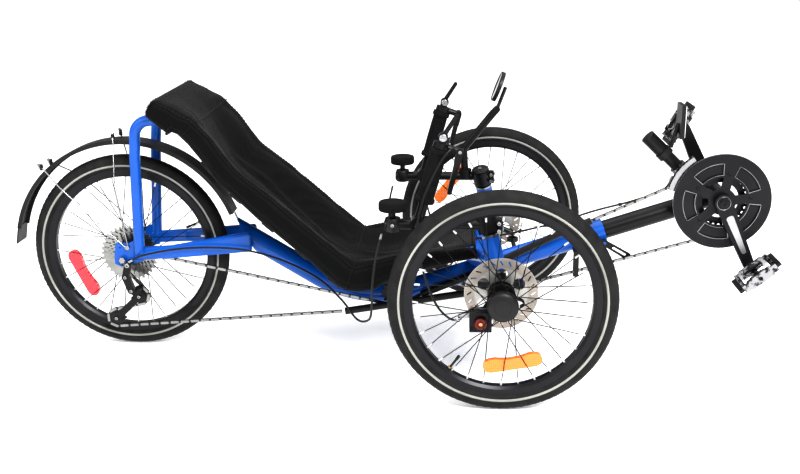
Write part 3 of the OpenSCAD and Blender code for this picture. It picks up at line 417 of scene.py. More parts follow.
class Piece:
    """Collects closed shapes, each with its finish, into one mesh."""

    def __init__(self, mirrored=False):
        self.verts, self.faces, self.finish_of, self.finishes = [], [], [], []
        self.mirrored = mirrored

    def add(self, verts, faces, finish):
        start = len(self.verts)
        self.verts += [tuple(v) for v in verts]
        if finish not in self.finishes:
            self.finishes.append(finish)
        for face in faces:
            self.faces.append([start + i for i in face])
            self.finish_of.append(self.finishes.index(finish))

    def lathe(self, foot, axis, profile, finish, segments=40, hexagonal=()):
        """Turns a profile of (radius, height) in mm round axis. Rows in hexagonal are six-sided."""
        side, up = frame_about(axis)
        axis = axis.normalized()
        verts, rings = [], []
        for row, (radius, height) in enumerate(profile):
            if radius < 1e-6:
                rings.append([len(verts)])
                verts.append(foot + axis * height * MM)
                continue
            ring = []
            for k in range(segments):
                a = 2 * math.pi * k / segments
                r = radius
                if row in hexagonal:
                    r = radius * math.cos(math.pi / 6) / math.cos((a % (math.pi / 3)) - math.pi / 6)
                ring.append(len(verts))
                verts.append(foot + axis * height * MM + (side * math.cos(a) + up * math.sin(a)) * r * MM)
            rings.append(ring)
        faces = []
        for low, high in zip(rings, rings[1:]):
            for k in range(segments):
                n = (k + 1) % segments
                if len(low) == 1:
                    faces.append((low[0], high[n], high[k]))
                elif len(high) == 1:
                    faces.append((low[k], low[n], high[0]))
                else:
                    faces.append((low[k], low[n], high[n], high[k]))
        self.add(verts, faces, finish)

    def tube(self, points, radius, finish, sides=12, flat=None):
        """A round tube along points, radius in mm. flat: (half width, half height, direction) for a strap."""
        verts, faces = [], []
        last = len(points) - 1
        side = None
        for i, p in enumerate(points):
            along = (points[min(i + 1, last)] - points[max(i - 1, 0)]).normalized()
            if flat:
                side = (flat[2] - along * flat[2].dot(along)).normalized()
            elif side is None:
                side = frame_about(along)[0]
            else:
                side = (side - along * side.dot(along)).normalized()
            up = along.cross(side)
            wide, high = (flat[0], flat[1]) if flat else (radius, radius)
            for k in range(sides):
                a = 2 * math.pi * (k + 0.5) / sides
                c, s = math.cos(a), math.sin(a)
                if flat:
                    c = math.copysign(abs(c) ** 0.35, c)
                    s = math.copysign(abs(s) ** 0.35, s)
                verts.append(p + side * c * wide * MM + up * s * high * MM)
        for i in range(last):
            for k in range(sides):
                n = (k + 1) % sides
                faces.append((i * sides + k, i * sides + n, (i + 1) * sides + n, (i + 1) * sides + k))
        faces.append(tuple(reversed(range(sides))))
        faces.append(tuple(range(last * sides, (last + 1) * sides)))
        self.add(verts, faces, finish)

    def slab(self, outline, foot, along, across, thick, finish):
        """A flat plate with its outline in the plane of along and across, thick along their cross product."""
        normal = along.cross(across).normalized()
        count = len(outline)
        verts = [foot + (along * u + across * v) * MM + normal * w * MM
                 for w in (0, thick) for u, v in outline]
        faces = [tuple(reversed(range(count))), tuple(range(count, 2 * count))]
        faces += [(k, (k + 1) % count, count + (k + 1) % count, count + k) for k in range(count)]
        self.add(verts, faces, finish)

    def bolt(self, head, axis, radius, finish="steel", height=None):
        """A round head with a hexagonal socket, standing on the point head along axis."""
        height = height or radius * 0.9
        socket = radius * 0.52
        self.lathe(head, axis, [(0, 0), (radius, 0), (radius, height * 0.8), (radius * 0.86, height),
                                (socket, height), (socket, height * 0.35), (0, height * 0.35)],
                   finish, 24, hexagonal=(4, 5))

    def make(self, name, body, sharp=32, bevel=0.0):
        """Makes the object; it rides on body and takes the material slot, where they are given."""
        verts = self.verts
        faces = self.faces
        if self.mirrored:
            verts = [(x, -y, z) for x, y, z in verts]
            faces = [list(reversed(f)) for f in faces]
        mesh = bpy.data.meshes.new(name)
        mesh.from_pydata(verts, [], faces)
        for finish in self.finishes:
            mesh.materials.append(FINISHES[finish])
        mesh.polygons.foreach_set("material_index", self.finish_of)
        mesh.polygons.foreach_set("use_smooth", [True] * len(faces))
        mesh.set_sharp_from_angle(angle=math.radians(sharp))
        mesh.update()
        item = bpy.data.objects.new(name, mesh)
        bpy.context.scene.collection.objects.link(item)
        if bevel:
            rim = item.modifiers.new("bevel", "BEVEL")
            rim.width = bevel * MM
            rim.segments = 2
            rim.limit_method = "ANGLE"
            rim.angle_limit = math.radians(35)
        if body:
            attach(item, body)
        return item


# ---- Wheels (mm) ----

TYRE_TUBE_R = 20
TYRE_MIDDLE_R = 224         # from the axle to the middle of the tyre's round section
TREAD_FROM_R = 236
TREAD_HALF_WIDTH = 14
TREAD_DEPTH = 1.3
STRIPE_R = (216.2, 220.6)
TYRE_STEPS = 288            # round the wheel
SECTION_STEPS = 40          # round the tyre's section
RIM_R = 190


def tyre_section(k):
    """Radius from the axle and sideways place of point k of the tyre's section, open towards the rim."""
    a = math.radians(-150 + 300 * k / SECTION_STEPS)
    return TYRE_MIDDLE_R + TYRE_TUBE_R * math.cos(a), TYRE_TUBE_R * math.sin(a)


def make_tyre(name, centre, body, node):
    """A tyre with fine tread blocks between grooves, and a pale stripe on each sidewall."""
    piece = Piece()
    verts, faces, bands = [], [], []
    middle = SECTION_STEPS // 2
    for i in range(TYRE_STEPS):
        out = facing(2 * math.pi * i / TYRE_STEPS)
        for k in range(SECTION_STEPS + 1):
            radius, width = tyre_section(k)
            if abs(width) < TREAD_HALF_WIDTH and radius > TREAD_FROM_R:
                groove = k in (middle, middle - 3, middle + 3)
                cross = (i + (1 if width > 0 else 0) + abs(k - middle) // 2) % 3 == 0
                if groove or cross:
                    radius -= TREAD_DEPTH
            verts.append((out * radius + Y * width) * MM + centre)
    row = SECTION_STEPS + 1
    for i in range(TYRE_STEPS):
        j = (i + 1) % TYRE_STEPS
        for k in range(SECTION_STEPS):
            faces.append((i * row + k, i * row + k + 1, j * row + k + 1, j * row + k))
            radius = tyre_section(k + 0.5)[0]
            bands.append("stripe" if STRIPE_R[0] < radius < STRIPE_R[1] else "tyre")
    for band in ("tyre", "stripe"):
        chosen = [f for f, b in zip(faces, bands) if b == band]
        used = sorted({i for f in chosen for i in f})
        index = {v: i for i, v in enumerate(used)}
        piece.add([verts[i] for i in used], [[index[i] for i in f] for f in chosen], band)
    tyre = piece.make(name, body, sharp=50)
    wall = tyre.modifiers.new("wall", "SOLIDIFY")
    wall.thickness = 2.4 * MM
    wall.offset = -1
    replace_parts(tyre, node)


def valve(piece, centre, angle):
    """A valve stem with its brass collar, standing inward from the rim."""
    out = facing(angle)
    foot = centre + out * RIM_R * MM
    piece.lathe(foot, -out, [(0, 0), (4, 0), (4, 3), (2.6, 4), (2.6, 26), (3.4, 27), (3.4, 36), (2.2, 38),
                             (0, 38)], "black_plastic", 20)
    piece.lathe(foot - out * 3 * MM, -out, [(0, 0), (5.2, 0), (5.2, 2.4), (0, 2.4)], "brass", 6)


def wheels():
    """Tyres, valves, the front hub caps and the rotor bolts."""
    make_tyre("rear_tyre_tread", Vector(REAR_CENTRE), "rear_wheel", "rear_tyre")
    rear = Piece()
    valve(rear, Vector(REAR_CENTRE), 0.4)
    rear.make("rear_valve", "rear_wheel")
    for side, mirrored in SIDES:
        centre = Vector(JOINTS[f"{side}_wheel_spin"]["pos_m"])
        make_tyre(f"{side}_tyre_tread", centre, f"{side}_wheel", f"{side}_tyre")
        trim = Piece(mirrored)
        middle = at(0, -350, 244)
        valve(trim, middle, -2.2)
        # Hub cap: a low dome over the axle nut
        trim.lathe(middle, OUT, [(31.2, 30), (31.6, 32.4), (30.4, 34.4), (27, 36.6), (22, 38.2), (17, 39.1),
                                 (8, 39.5), (0, 39.6)], "black_plastic", 56)
        # Rotor bolts on the hub's inner face
        for k in range(6):
            spot = middle + facing(math.radians(60 * k)) * 22 * MM + Y * 54 * MM
            trim.bolt(spot, Y, 3.6, "black_metal", 2.4)
        trim.make(f"{side}_hub_trim", f"{side}_wheel")


wheels()


# ---- Chain (mm, in the side view: x forward, z up, y where it runs) ----

PITCH = 12.7
RING, RING_TEETH = Vector((CRANK_X, -46, CRANK_Z)), 39
IDLER, IDLER_TEETH = Vector((-246, -37, 149)), 15
SPROCKET = Vector((-900, -58, 244))
UPPER_JOCKEY, LOWER_JOCKEY = Vector((-872, -58, 145)), Vector((-933, -58, 88))
SMALL_TEETH = 11            # on all three
PLATE = 0.9                 # thickness of a link's plate
# Middle lines of the two chain tubes, from back to front and from front to back
DRIVE_TUBE = ((-180, -38, 147), (-43, -39, 204), (19, -40, 238), (159, -41, 309), (222, -42, 336))
RETURN_TUBE = ((90, -50, 184.6), (-60, -53, 158), (-365, -56, 108.5))


def pitch_r(teeth):
    """Pitch radius of a sprocket."""
    return PITCH / (2 * math.sin(math.pi / teeth))


def tangent(c1, r1, s1, c2, r2, s2):
    """Side-view angle of the line that touches both circles; s is 1 with a circle to its left, else -1."""
    d = c2 - c1
    return math.atan2(d.z, d.x) - math.asin((s2 * r2 - s1 * r1) / math.hypot(d.x, d.z))


def arc(c, r, start, end):
    """Points on a circle, from one side-view angle to another."""
    count = max(2, round(abs(end - start) / math.radians(6)))
    return [c + facing(start + (end - start) * k / count) * r for k in range(count + 1)]


def chain_loop():
    """Stretches of the chain's own line in mm, in order, each with whether a tube hides it."""
    quarter = math.pi / 2
    ring_r, small_r, idler_r = pitch_r(RING_TEETH), pitch_r(SMALL_TEETH), pitch_r(IDLER_TEETH)
    drive = [Vector(p) for p in DRIVE_TUBE]
    back = [Vector(p) for p in RETURN_TUBE]
    to_idler = tangent(SPROCKET, small_r, -1, IDLER, idler_r, 1)
    climb = math.atan2(drive[1].z - drive[0].z, drive[1].x - drive[0].x)
    to_ring = tangent(drive[-1], 0, 1, RING, ring_r, -1)
    off_ring = tangent(back[0], 0, 1, RING, ring_r, 1)
    off_lower = tangent(LOWER_JOCKEY, small_r, 1, back[-1], 0, 1)
    to_upper = tangent(SPROCKET, small_r, 1, UPPER_JOCKEY, small_r, -1)
    to_lower = tangent(UPPER_JOCKEY, small_r, -1, LOWER_JOCKEY, small_r, 1)
    start = SPROCKET + facing(to_idler + quarter) * small_r
    return [
        ([start, start + facing(to_idler) * 70], False),
        (arc(IDLER, idler_r, to_idler - quarter, climb - quarter), False),
        (drive, True),
        (arc(RING, ring_r, to_ring + quarter, off_ring - quarter), False),
        (back, True),
        (arc(LOWER_JOCKEY, small_r, off_lower + 3 * quarter, to_lower + 3 * quarter), False),
        (arc(UPPER_JOCKEY, small_r, to_lower + quarter, to_upper + quarter), False),
        (arc(SPROCKET, small_r, to_upper + 3 * quarter, to_idler + quarter), False),
        ([start], False),
    ]


def chain_links():
    """Places one link after another along the loop, a pitch apart, leaving out what the tubes hide."""
    points, hidden = [], []
    for stretch, inside in chain_loop():
        for p in stretch:
            points.append(p)
            hidden.append(inside)
    lengths = [(b - a).length for a, b in zip(points, points[1:])]
    total = sum(lengths)
    count = 2 * round(total / PITCH / 2)
    pins, covered = [], []
    i, run = 0, 0.0
    for k in range(count + 1):
        goal = total * k / count
        while i < len(lengths) - 1 and run + lengths[i] < goal:
            run += lengths[i]
            i += 1
        t = min(1, (goal - run) / max(lengths[i], 1e-9))
        pins.append(points[i].lerp(points[i + 1], t))
        covered.append(hidden[i] and hidden[i + 1])
    piece = Piece()
    outline = [(math.cos(a), math.sin(a)) for a in (2 * math.pi * k / 14 for k in range(14))]
    for k in range(count):
        if covered[k]:
            continue
        a, b = pins[k], pins[k + 1]
        foot, tip = at(*a), at(*b)
        along = (tip - foot).normalized()
        across = Y.cross(along).normalized()
        side = along.cross(across)
        span = (tip - foot).length / MM
        outer = k % 2 == 0
        high, gap, finish = (4.1, 2.35, "chain_steel") if outer else (3.8, 1.35, "chain_dark")
        # Round ends and a narrower waist
        plate = [(u * 4.1 + (span if u > 0 else 0), v * high * (1 if abs(u) > 0.3 else 0.78))
                 for u, v in outline]
        for place in (-gap - PLATE, gap):
            piece.slab(plate, foot + side * place * MM, along, across, PLATE, finish)
        piece.lathe(foot - side * 3.6 * MM, side, [(0, 0), (1.8, 0.2), (1.8, 7), (0, 7.2)], "chain_steel", 10)
        piece.lathe(foot - side * 1.3 * MM, side, [(0, 0), (3.7, 0), (3.7, 2.6), (0, 2.6)], "chain_dark", 10)
    chain = piece.make("chain_links", "frame")
    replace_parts(chain, "chain")


chain_links()


# ---- Cables (mm) ----

REAR_SHIFT_RUN = ((-262, -225, 355), (-276, -215, 300), (-286, -205, 230), (-290, -190, 165),
                  (-300, -165, 128), (-330, -130, 116), (-370, -90, 150), (-430, -62, 195), (-520, -58, 240),
                  (-620, -64, 268), (-740, -84, 276), (-840, -96, 262), (-880, -98, 244))
FRONT_SHIFT_RUN = ((-262, 225, 355), (-272, 212, 300), (-262, 188, 240), (-215, 140, 215), (-140, 76, 238),
                   (-90, 48, 262), (-40, 38, 268), (20, 31, 279), (140, 29, 308), (240, 30, 341),
                   (330, 30, 366), (400, 28, 394), (420, 27, 428))
BRAKE_RUN = ((-103, -246, 551), (-112, -256, 550), (-130, -264, 528), (-150, -266, 490), (-170, -264, 440),
             (-182, -264, 380), (-178, -262, 320), (-160, -258, 250), (-138, -262, 200), (-112, -266, 174),
             (-92, -270, 170))
CALIPER_END = (-84, -270, 172)
HOUSING_R = 2.5
SHIFT_CAP = ((0, 0), (3.1, 0), (3.1, 11), (2.2, 12.4), (0, 12.4))
BRAKE_CAP = ((0, 0), (3.2, 0), (3.2, 10), (2.2, 12), (0, 12))


def end_cap(piece, end, before, back, profile):
    """A metal cap on a housing's end, starting a distance back along it."""
    outward = (end - before).normalized()
    piece.lathe(end - outward * back * MM, outward, profile, "steel", 20)


def cables():
    """Smooth housings along the CAD routes, with metal end caps."""
    housing = Piece()
    for run in (REAR_SHIFT_RUN, FRONT_SHIFT_RUN):
        line = catmull([at(*p) for p in run])
        housing.tube(line, HOUSING_R, "cable_housing")
        end_cap(housing, line[0], line[1], 12, SHIFT_CAP)
        end_cap(housing, line[-1], line[-2], 12, SHIFT_CAP)
    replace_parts(housing.make("shift_housings", "frame"), "shift_cables")
    for side, mirrored in SIDES:
        brake = Piece(mirrored)
        line = catmull([at(*p) for p in BRAKE_RUN])
        brake.tube(line, HOUSING_R, "cable_housing")
        end_cap(brake, line[-1], line[-2], 8, BRAKE_CAP)
        # Bare inner wire from the housing's end to the caliper arm
        brake.tube([line[-1], at(*CALIPER_END)], 0.8, "steel", 8)
        made = brake.make(f"{side}_brake_housing", f"{side}_steering")
        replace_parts(made, f"{side}_brake_cable")


cables()


# ---- Grips, wrist rests, levers and clamps ----

GRIP_FOOT, GRIP_TOP = at(-181, -235, 383), at(-130, -235, 560)
STEM = at(-28.7, -230.2, 379)
KINGPIN = Vector((-0.2126, 0.3172, 1)).normalized()
WRIST_REST = at(-236, -235, 366)
CALIPER_KNOB = at(-44, -323, 184)


def grip_and_rest(side, mirrored):
    """The foam grip with its two collars, and the wrist rest on its post."""
    body = f"{side}_steering"
    grip = Piece(mirrored)
    grip.lathe(GRIP_FOOT, (GRIP_TOP - GRIP_FOOT).normalized(),
               [(11.2, 51), (20.6, 51), (21.5, 52.5), (21.5, 60), (20.4, 61.6), (18.6, 62.4), (18.2, 72),
                (18.7, 90), (18.7, 140), (18.2, 158), (18.6, 161), (20.6, 162), (21.5, 163.4), (21.5, 172),
                (20.4, 173.6), (11.2, 174)], "foam", 56)
    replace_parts(grip.make(f"{side}_foam_grip", body, sharp=60), f"{side}_grip")
    rest = Piece(mirrored)
    rest.lathe(WRIST_REST, Z, [(0, 0), (16.2, 0), (17, 0.8), (17, 29), (16.2, 30), (0, 30)],
               "black_plastic", 48)
    rest.lathe(WRIST_REST, Z, [(0, 24), (6.5, 24), (6.5, 48), (0, 48)], "black_metal", 32)
    rest.lathe(WRIST_REST, Z, [(0, 46), (26, 46), (29.4, 47), (31, 50), (31, 63), (29.2, 66.4), (24, 68),
                               (12, 67.4), (0, 67)], "foam", 56)
    rest.bolt(WRIST_REST + (Z * 17 - Y * 17) * MM, OUT, 4.4)
    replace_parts(rest.make(f"{side}_wrist_pad", body, sharp=50), f"{side}_wrist_rest")


def cockpit_trim(side, mirrored):
    """Bolts, caps and discs of the stem, the bar, the levers and the caliper."""
    up = (GRIP_TOP - GRIP_FOOT).normalized()
    pivot = GRIP_TOP + up * 15 * MM
    trim = Piece(mirrored)
    for height in (-9, 8):
        spot = STEM + (X * 24 + Z * height) * MM
        trim.bolt(spot + OUT * 18 * MM, OUT, 4.6)
        trim.bolt(spot - OUT * 18 * MM, -OUT, 4.6)
        trim.bolt(STEM + (X * 31.6 + Z * height) * MM, X, 4.2)
    # Cap over the kingpin with its own bolt
    trim.lathe(STEM + KINGPIN * 20 * MM, KINGPIN,
               [(0, 0), (21.5, 0), (21.5, 2.4), (19, 4), (9, 4.6), (0, 4.6)], "black_metal", 48)
    trim.bolt(STEM + KINGPIN * 24.4 * MM, KINGPIN, 5, "steel", 3)
    # End cap of the bar, and the bolt of the grip tube's clamp
    trim.lathe(at(-250, -235, 380), -X, [(0, 0), (11.6, 0), (12, 1), (12, 3.4), (9, 5), (0, 5.4)],
               "black_plastic", 32)
    trim.bolt(GRIP_FOOT + OUT * 16 * MM, OUT, 6)
    # Discs of the shift lever's pivot, hollow outside
    trim.lathe(pivot + OUT * 12.6 * MM, OUT,
               [(0, 0), (8.4, 0), (8.4, 1.6), (7, 2.6), (3, 2.8), (2.6, 1.6), (0, 1.6)], "aluminium", 40)
    trim.lathe(pivot - OUT * 12.6 * MM, -OUT, [(0, 0), (8.4, 0), (8.4, 1.6), (7, 2.6), (0, 2.8)],
               "aluminium", 40)
    # Pivot and clamp bolts of the brake lever
    trim.bolt(at(-90, -249, 544), OUT, 3.8, "steel", 2)
    trim.bolt(GRIP_TOP + up * -2 * MM + X * 17.4 * MM, X, 3.4)
    # Pad adjuster of the caliper: a ridged red knob with a brass screw
    trim.lathe(CALIPER_KNOB, OUT,
               [(0, 0), (12.6, 0), (13, 0.8), (13, 3.6), (12, 4.6), (7, 4.9), (6.4, 4.1), (0, 4.1)],
               "knob_red", 48)
    trim.bolt(CALIPER_KNOB + OUT * 4 * MM, OUT, 4.2, "brass", 2.4)
    for k in range(18):
        ridge = CALIPER_KNOB + facing(2 * math.pi * k / 18) * 12.9 * MM
        trim.tube([ridge, ridge + OUT * 3.8 * MM], 0.9, "knob_red", 8)
    for x, z in ((-64, 168), (-26, 200)):
        trim.bolt(at(x, -318, z), OUT, 4, "black_metal", 3)
    trim.make(f"{side}_cockpit_trim", f"{side}_steering")


for side, mirrored in SIDES:
    grip_and_rest(side, mirrored)
    cockpit_trim(side, mirrored)


# ---- Seat (mm) ----

RAIL_Y = 148
RAIL = ((-768, 632), (-700, 576), (-612, 470), (-338, 228), (-240, 256), (-52, 292))
RAIL_BEND = 38              # radius of its bends
CROSS_TUBES_X = (-762, -728, -338)
HELD_NEAR_TUBE = 16         # how near to a cross tube the cloth can't move
# Along x: how far the cloth stands over and under the rail's middle line, and how deep it sags
SLING_SIZES = ((-768, 14, 36, 0), (-735, 24, 34, 7), (-700, 31, 22, 16), (-670, 34, 24, 30),
               (-620, 27, 31, 36), (-520, 33, 37, 46), (-420, 33, 36, 40), (-362, 34, 38, 21),
               (-338, 34, 41, 16), (-296, 33, 43, 20), (-261, 31, 33, 26), (-143, 23, 18, 22),
               (-92, 18, 15, 12), (-52, 12, 14, 2))
# The sleeve's section: how far outside the rail, and the share of the cloth's height
SLEEVE = ((-34, 0.03), (-16, 0), (2, 0), (13, 0.06), (20, 0.2), (23, 0.42), (23, 0.68), (19, 0.87),
          (11, 0.98))
ACROSS = 30                 # columns of cloth between the two sleeves
SPACING = 9.0               # between rows
CAP_TURNS = (180, 150, 120, 90, 60, 30)     # degrees of the rows that go over the rail ends
CAP_REACH = 12.5            # how far the cloth goes past the rail ends
FLAP_MM = (58, 44, 30, 15)  # how far the flap's rows lie down behind
CLOTH_FRAMES = 18
CLOTH_LIMIT = 9             # how far the simulation may move a point
FOLD_WIDTH = 9.5
FOLD_FADE = 30              # over which a fold rises and ends
STRAP_SHARES = (0.1, 0.2, 0.31, 0.42, 0.53, 0.64, 0.76, 0.88)
# Long folds: points (x, share across) and height
FOLDS = ((((-672, 0.20), (-620, 0.27), (-560, 0.40), (-500, 0.50), (-430, 0.52)), 12),
         (((-640, 0.62), (-560, 0.68), (-470, 0.62), (-400, 0.55)), 9),
         (((-625, 0.10), (-540, 0.14), (-470, 0.20), (-400, 0.30)), 10),
         (((-470, 0.40), (-430, 0.28), (-390, 0.20), (-350, 0.13)), 12),
         (((-440, 0.60), (-395, 0.46), (-350, 0.34)), 10),
         (((-420, 0.80), (-380, 0.70), (-350, 0.60)), 7),
         (((-330, 0.14), (-290, 0.24), (-240, 0.20)), 7),
         (((-328, 0.46), (-280, 0.44), (-200, 0.36)), 6),
         (((-738, 0.22), (-700, 0.16), (-655, 0.26)), 7))


def rail_line():
    """The rails' rounded middle line in the middle plane, with evenly spaced points."""
    line = rounded([at(x, 0, z) for x, z in RAIL], RAIL_BEND * MM)
    made = [line[0]]
    goal, run = SPACING * MM, 0.0
    for a, b in zip(line, line[1:]):
        length = (b - a).length
        while run + length >= goal:
            made.append(a.lerp(b, (goal - run) / length))
            goal += SPACING * MM
        run += length
    made.append(line[-1])
    return made


def rider_side(line, i):
    """The direction square to the rail, towards the rider."""
    along = (line[min(i + 1, len(line) - 1)] - line[max(i - 1, 0)]).normalized()
    return Vector((-along.z, 0, along.x)).normalized()


def sling_size(x):
    """Over, under and sag at x, eased between the listed places."""
    for low, high in zip(SLING_SIZES, SLING_SIZES[1:]):
        if x <= high[0]:
            t = max(0, (x - low[0]) / (high[0] - low[0]))
            t = t * t * (3 - 2 * t)
            return [a + (b - a) * t for a, b in zip(low[1:], high[1:])]
    return SLING_SIZES[-1][1:]


def section(over, under, hollow, folded=False):
    """Points (y, height) of one row: round the near rail, across with a sag, and round the far rail."""
    near = [(-RAIL_Y - out, -under + (over + under) * share) for out, share in SLEEVE]
    if folded:
        near = [(y, max(h, 0.06 * over)) for y, h in near]
    row = list(near)
    edge = RAIL_Y + 5
    for k in range(1, ACROSS + 1):
        t = k / (ACROSS + 1)
        # The sag starts a little inside the sleeves and is full before the middle
        inward = min(1, max(0, (min(t, 1 - t) - 0.06) / 0.34))
        row.append((-edge + 2 * edge * t, over - hollow * inward * inward * (3 - 2 * inward)))
    row += [(-y, h) for y, h in reversed(near)]
    return row


def fold_height(x, t):
    """Height in mm of the long folds at x, at share t across the seat."""
    total = 0.0
    for path, height in FOLDS:
        for (x1, t1), (x2, t2) in zip(path, path[1:]):
            if x1 <= x <= x2:
                middle = t1 + (t2 - t1) * (x - x1) / (x2 - x1)
                ends = min(1, (x - path[0][0]) / FOLD_FADE, (path[-1][0] - x) / FOLD_FADE)
                away = (t - middle) * 2 * RAIL_Y / FOLD_WIDTH
                crest, hollows = math.exp(-away * away), 0.45 * math.exp(-(away / 2.4) ** 2)
                total += height * max(0, ends) * (crest - hollows)
    return total


def sling_rows():
    """Rows of the sling, from the flap behind the shoulders over the rail ends and down to the nose."""
    line = rail_line()
    end, first = line[0], rider_side(line, 0)
    along = (line[1] - line[0]).normalized()
    over, under, hollow = sling_size(SLING_SIZES[0][0])
    rows, normals, places = [], [], []
    for down in FLAP_MM:
        hem = end + along * down * MM
        rows.append([hem + Y * y * MM - first * h * MM for y, h in section(under, 0, 0, True)])
        normals.append(-first)
        places.append(None)
    for turned in CAP_TURNS:
        a = math.radians(turned)
        outward = first * math.cos(a) - along * math.sin(a)
        reach = over if turned < 90 else under
        bent = first * math.cos(a) * reach - along * math.sin(a) * CAP_REACH
        rows.append([end + Y * y * MM + bent * h * MM for y, h in section(1, 0, 0, True)])
        normals.append(outward)
        places.append(None)
    for i, middle in enumerate(line):
        x = (middle.x - FRONT_AXLE_X) / MM
        normal = rider_side(line, i)
        rows.append([middle + Y * y * MM + normal * h * MM for y, h in section(*sling_size(x))])
        normals.append(normal)
        places.append(x)
    return rows, normals, places, line


def relax(item, pinned):
    """Lets the cloth hang under its own weight, held at the pinned vertices, and keeps the result."""
    group = item.vertex_groups.new(name="held")
    group.add(pinned, 1.0, "REPLACE")
    cloth = item.modifiers.new("cloth", "CLOTH")
    settings = cloth.settings
    settings.quality = 5
    settings.mass = 0.25
    settings.tension_stiffness = 40
    settings.compression_stiffness = 6
    settings.shear_stiffness = 4
    settings.bending_stiffness = 0.4
    settings.vertex_group_mass = "held"
    settings.shrink_min = -0.012
    cloth.collision_settings.use_collision = False
    scene = bpy.context.scene
    for number in range(1, CLOTH_FRAMES + 1):
        scene.frame_set(number)
        bpy.context.view_layer.update()
    solved = item.evaluated_get(bpy.context.evaluated_depsgraph_get()).to_mesh()
    places = [v.co.copy() for v in solved.vertices]
    item.modifiers.remove(cloth)
    scene.frame_set(1)
    limit = CLOTH_LIMIT * MM
    for vertex, place in zip(item.data.vertices, places):
        move = place - vertex.co
        if move.length > limit:
            move *= limit / move.length
        vertex.co += move


def crease(item, wide, normals, places):
    """Raises the long folds on the hanging cloth, with a little uneven puckering along both sleeves."""
    first = len(SLEEVE)
    for i, (normal, x) in enumerate(zip(normals, places)):
        if x is None:
            continue
        for k in range(wide):
            vertex = item.data.vertices[i * wide + k]
            if first <= k < wide - first:
                vertex.co += normal * fold_height(x, (k - first + 1) / (ACROSS + 1)) * MM
            elif 3 <= k < wide - 3:
                vertex.co += normal * math.sin(x * 0.11 + k) * math.sin(x * 0.031 + 2) * 1.3 * MM


def seat():
    """The sling, its trim and its straps."""
    rows, normals, places, line = sling_rows()
    wide = len(rows[0])
    first = len(SLEEVE)
    verts = [p for row in rows for p in row]
    held = []
    for i, x in enumerate(places):
        near_tube = x is None or min(abs(x - tube) for tube in CROSS_TUBES_X) < HELD_NEAR_TUBE
        for k in range(wide):
            if k < first or k >= wide - first or near_tube or i == len(rows) - 1:
                held.append(i * wide + k)
    faces = [(i * wide + k, i * wide + k + 1, (i + 1) * wide + k + 1, (i + 1) * wide + k)
             for i in range(len(rows) - 1) for k in range(wide - 1)]
    piece = Piece()
    piece.add(verts, faces, "seat_mesh")
    sling = piece.make("seat_sling_cloth", None, sharp=180)
    relax(sling, held)
    crease(sling, wide, normals, places)
    finer = sling.modifiers.new("subdivision", "SUBSURF")
    finer.levels = finer.render_levels = 1
    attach(sling, "frame")
    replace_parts(sling, "seat_sling")
    trim = seat_trim(rows, normals, places)
    seat_straps(line)


def row_after(places, wanted):
    """The first row in front of the place wanted."""
    return next(i for i, x in enumerate(places) if x is not None and x > wanted)


def seat_trim(rows, normals, places):
    """Hems across both ends, cross seams, stitched lines along the sleeves, and small sewn marks."""
    trim = Piece()
    last = len(rows) - 1
    shoulder, hip = (row_after(places, x) for x in (-705, -342))
    for i, radius in ((0, 3.2), (last, 3.2), (shoulder, 1.2), (hip, 1.4)):
        trim.tube([p + normals[i] * 0.6 * MM for p in rows[i][3:-3]], radius, "webbing", 8)
    for k in (7, 9, -8, -10):
        for i in range(4, last - 1):
            a, b = rows[i][k], rows[i + 1][k]
            lift = normals[i] * 0.8 * MM
            trim.tube([a.lerp(b, 0.15) + lift, a.lerp(b, 0.75) + lift], 0.5, "thread", 6)
    for wanted, k in ((-625, 10), (-292, 10), (-262, 11)):
        i = row_after(places, wanted)
        for step in range(3):
            a, b = rows[i + step][k], rows[i + step][k + 1]
            lift = normals[i + step] * 1.2 * MM
            trim.tube([a.lerp(b, 0.1) + lift, a.lerp(b, 0.9) + lift], 0.7, "thread", 6)
    return trim.make("seat_hems", "frame", sharp=60)


def seat_straps(line):
    """Webbing laced behind the sling from rail to rail, each with a buckle by the near rail."""
    straps = Piece()
    last = len(line) - 1
    for share in STRAP_SHARES:
        i = round(last * share)
        normal = rider_side(line, i)
        along = (line[i + 1] - line[i - 1]).normalized()
        under = sling_size((line[i].x - FRONT_AXLE_X) / MM)[1]
        path = []
        for k in range(25):
            t = k / 24
            path.append(line[i] + Y * (-RAIL_Y + 2 * RAIL_Y * t) * MM
                        - normal * (under - 1.5 + 5 * math.sin(math.pi * t)) * MM)
        straps.tube(path, 1, "webbing", 12, flat=(12.5, 0.9, along))
        foot = path[1] - normal * 3.2 * MM
        frame_path = [foot + along * u * MM + Y * v * MM for u, v in
                      ((-16, -9), (16, -9), (16, 9), (-16, 9), (-16, -9))]
        straps.tube(frame_path, 2.2, "black_plastic", 8)
        straps.tube([foot + along * -16 * MM, foot + along * 16 * MM], 2.0, "black_plastic", 8)
        # Loose tail of the strap
        tail = [foot - normal * (0.6 + 7 * t) * MM + Y * (4 + 44 * t) * MM for t in (0, 0.25, 0.5, 0.75, 1)]
        straps.tube(tail, 1, "webbing", 12, flat=(12, 0.8, along))
    straps.make("seat_straps", "frame", sharp=50)


seat()


# ---- Frame, drive and guard trim ----

POST_TOP, POST_FOOT = at(351, 0, 529), at(492, 0, 392)
BOOM_WAY, BOOM_UP = Vector((0.9499, 0, 0.3125)), Vector((-0.3125, 0, 0.9499))


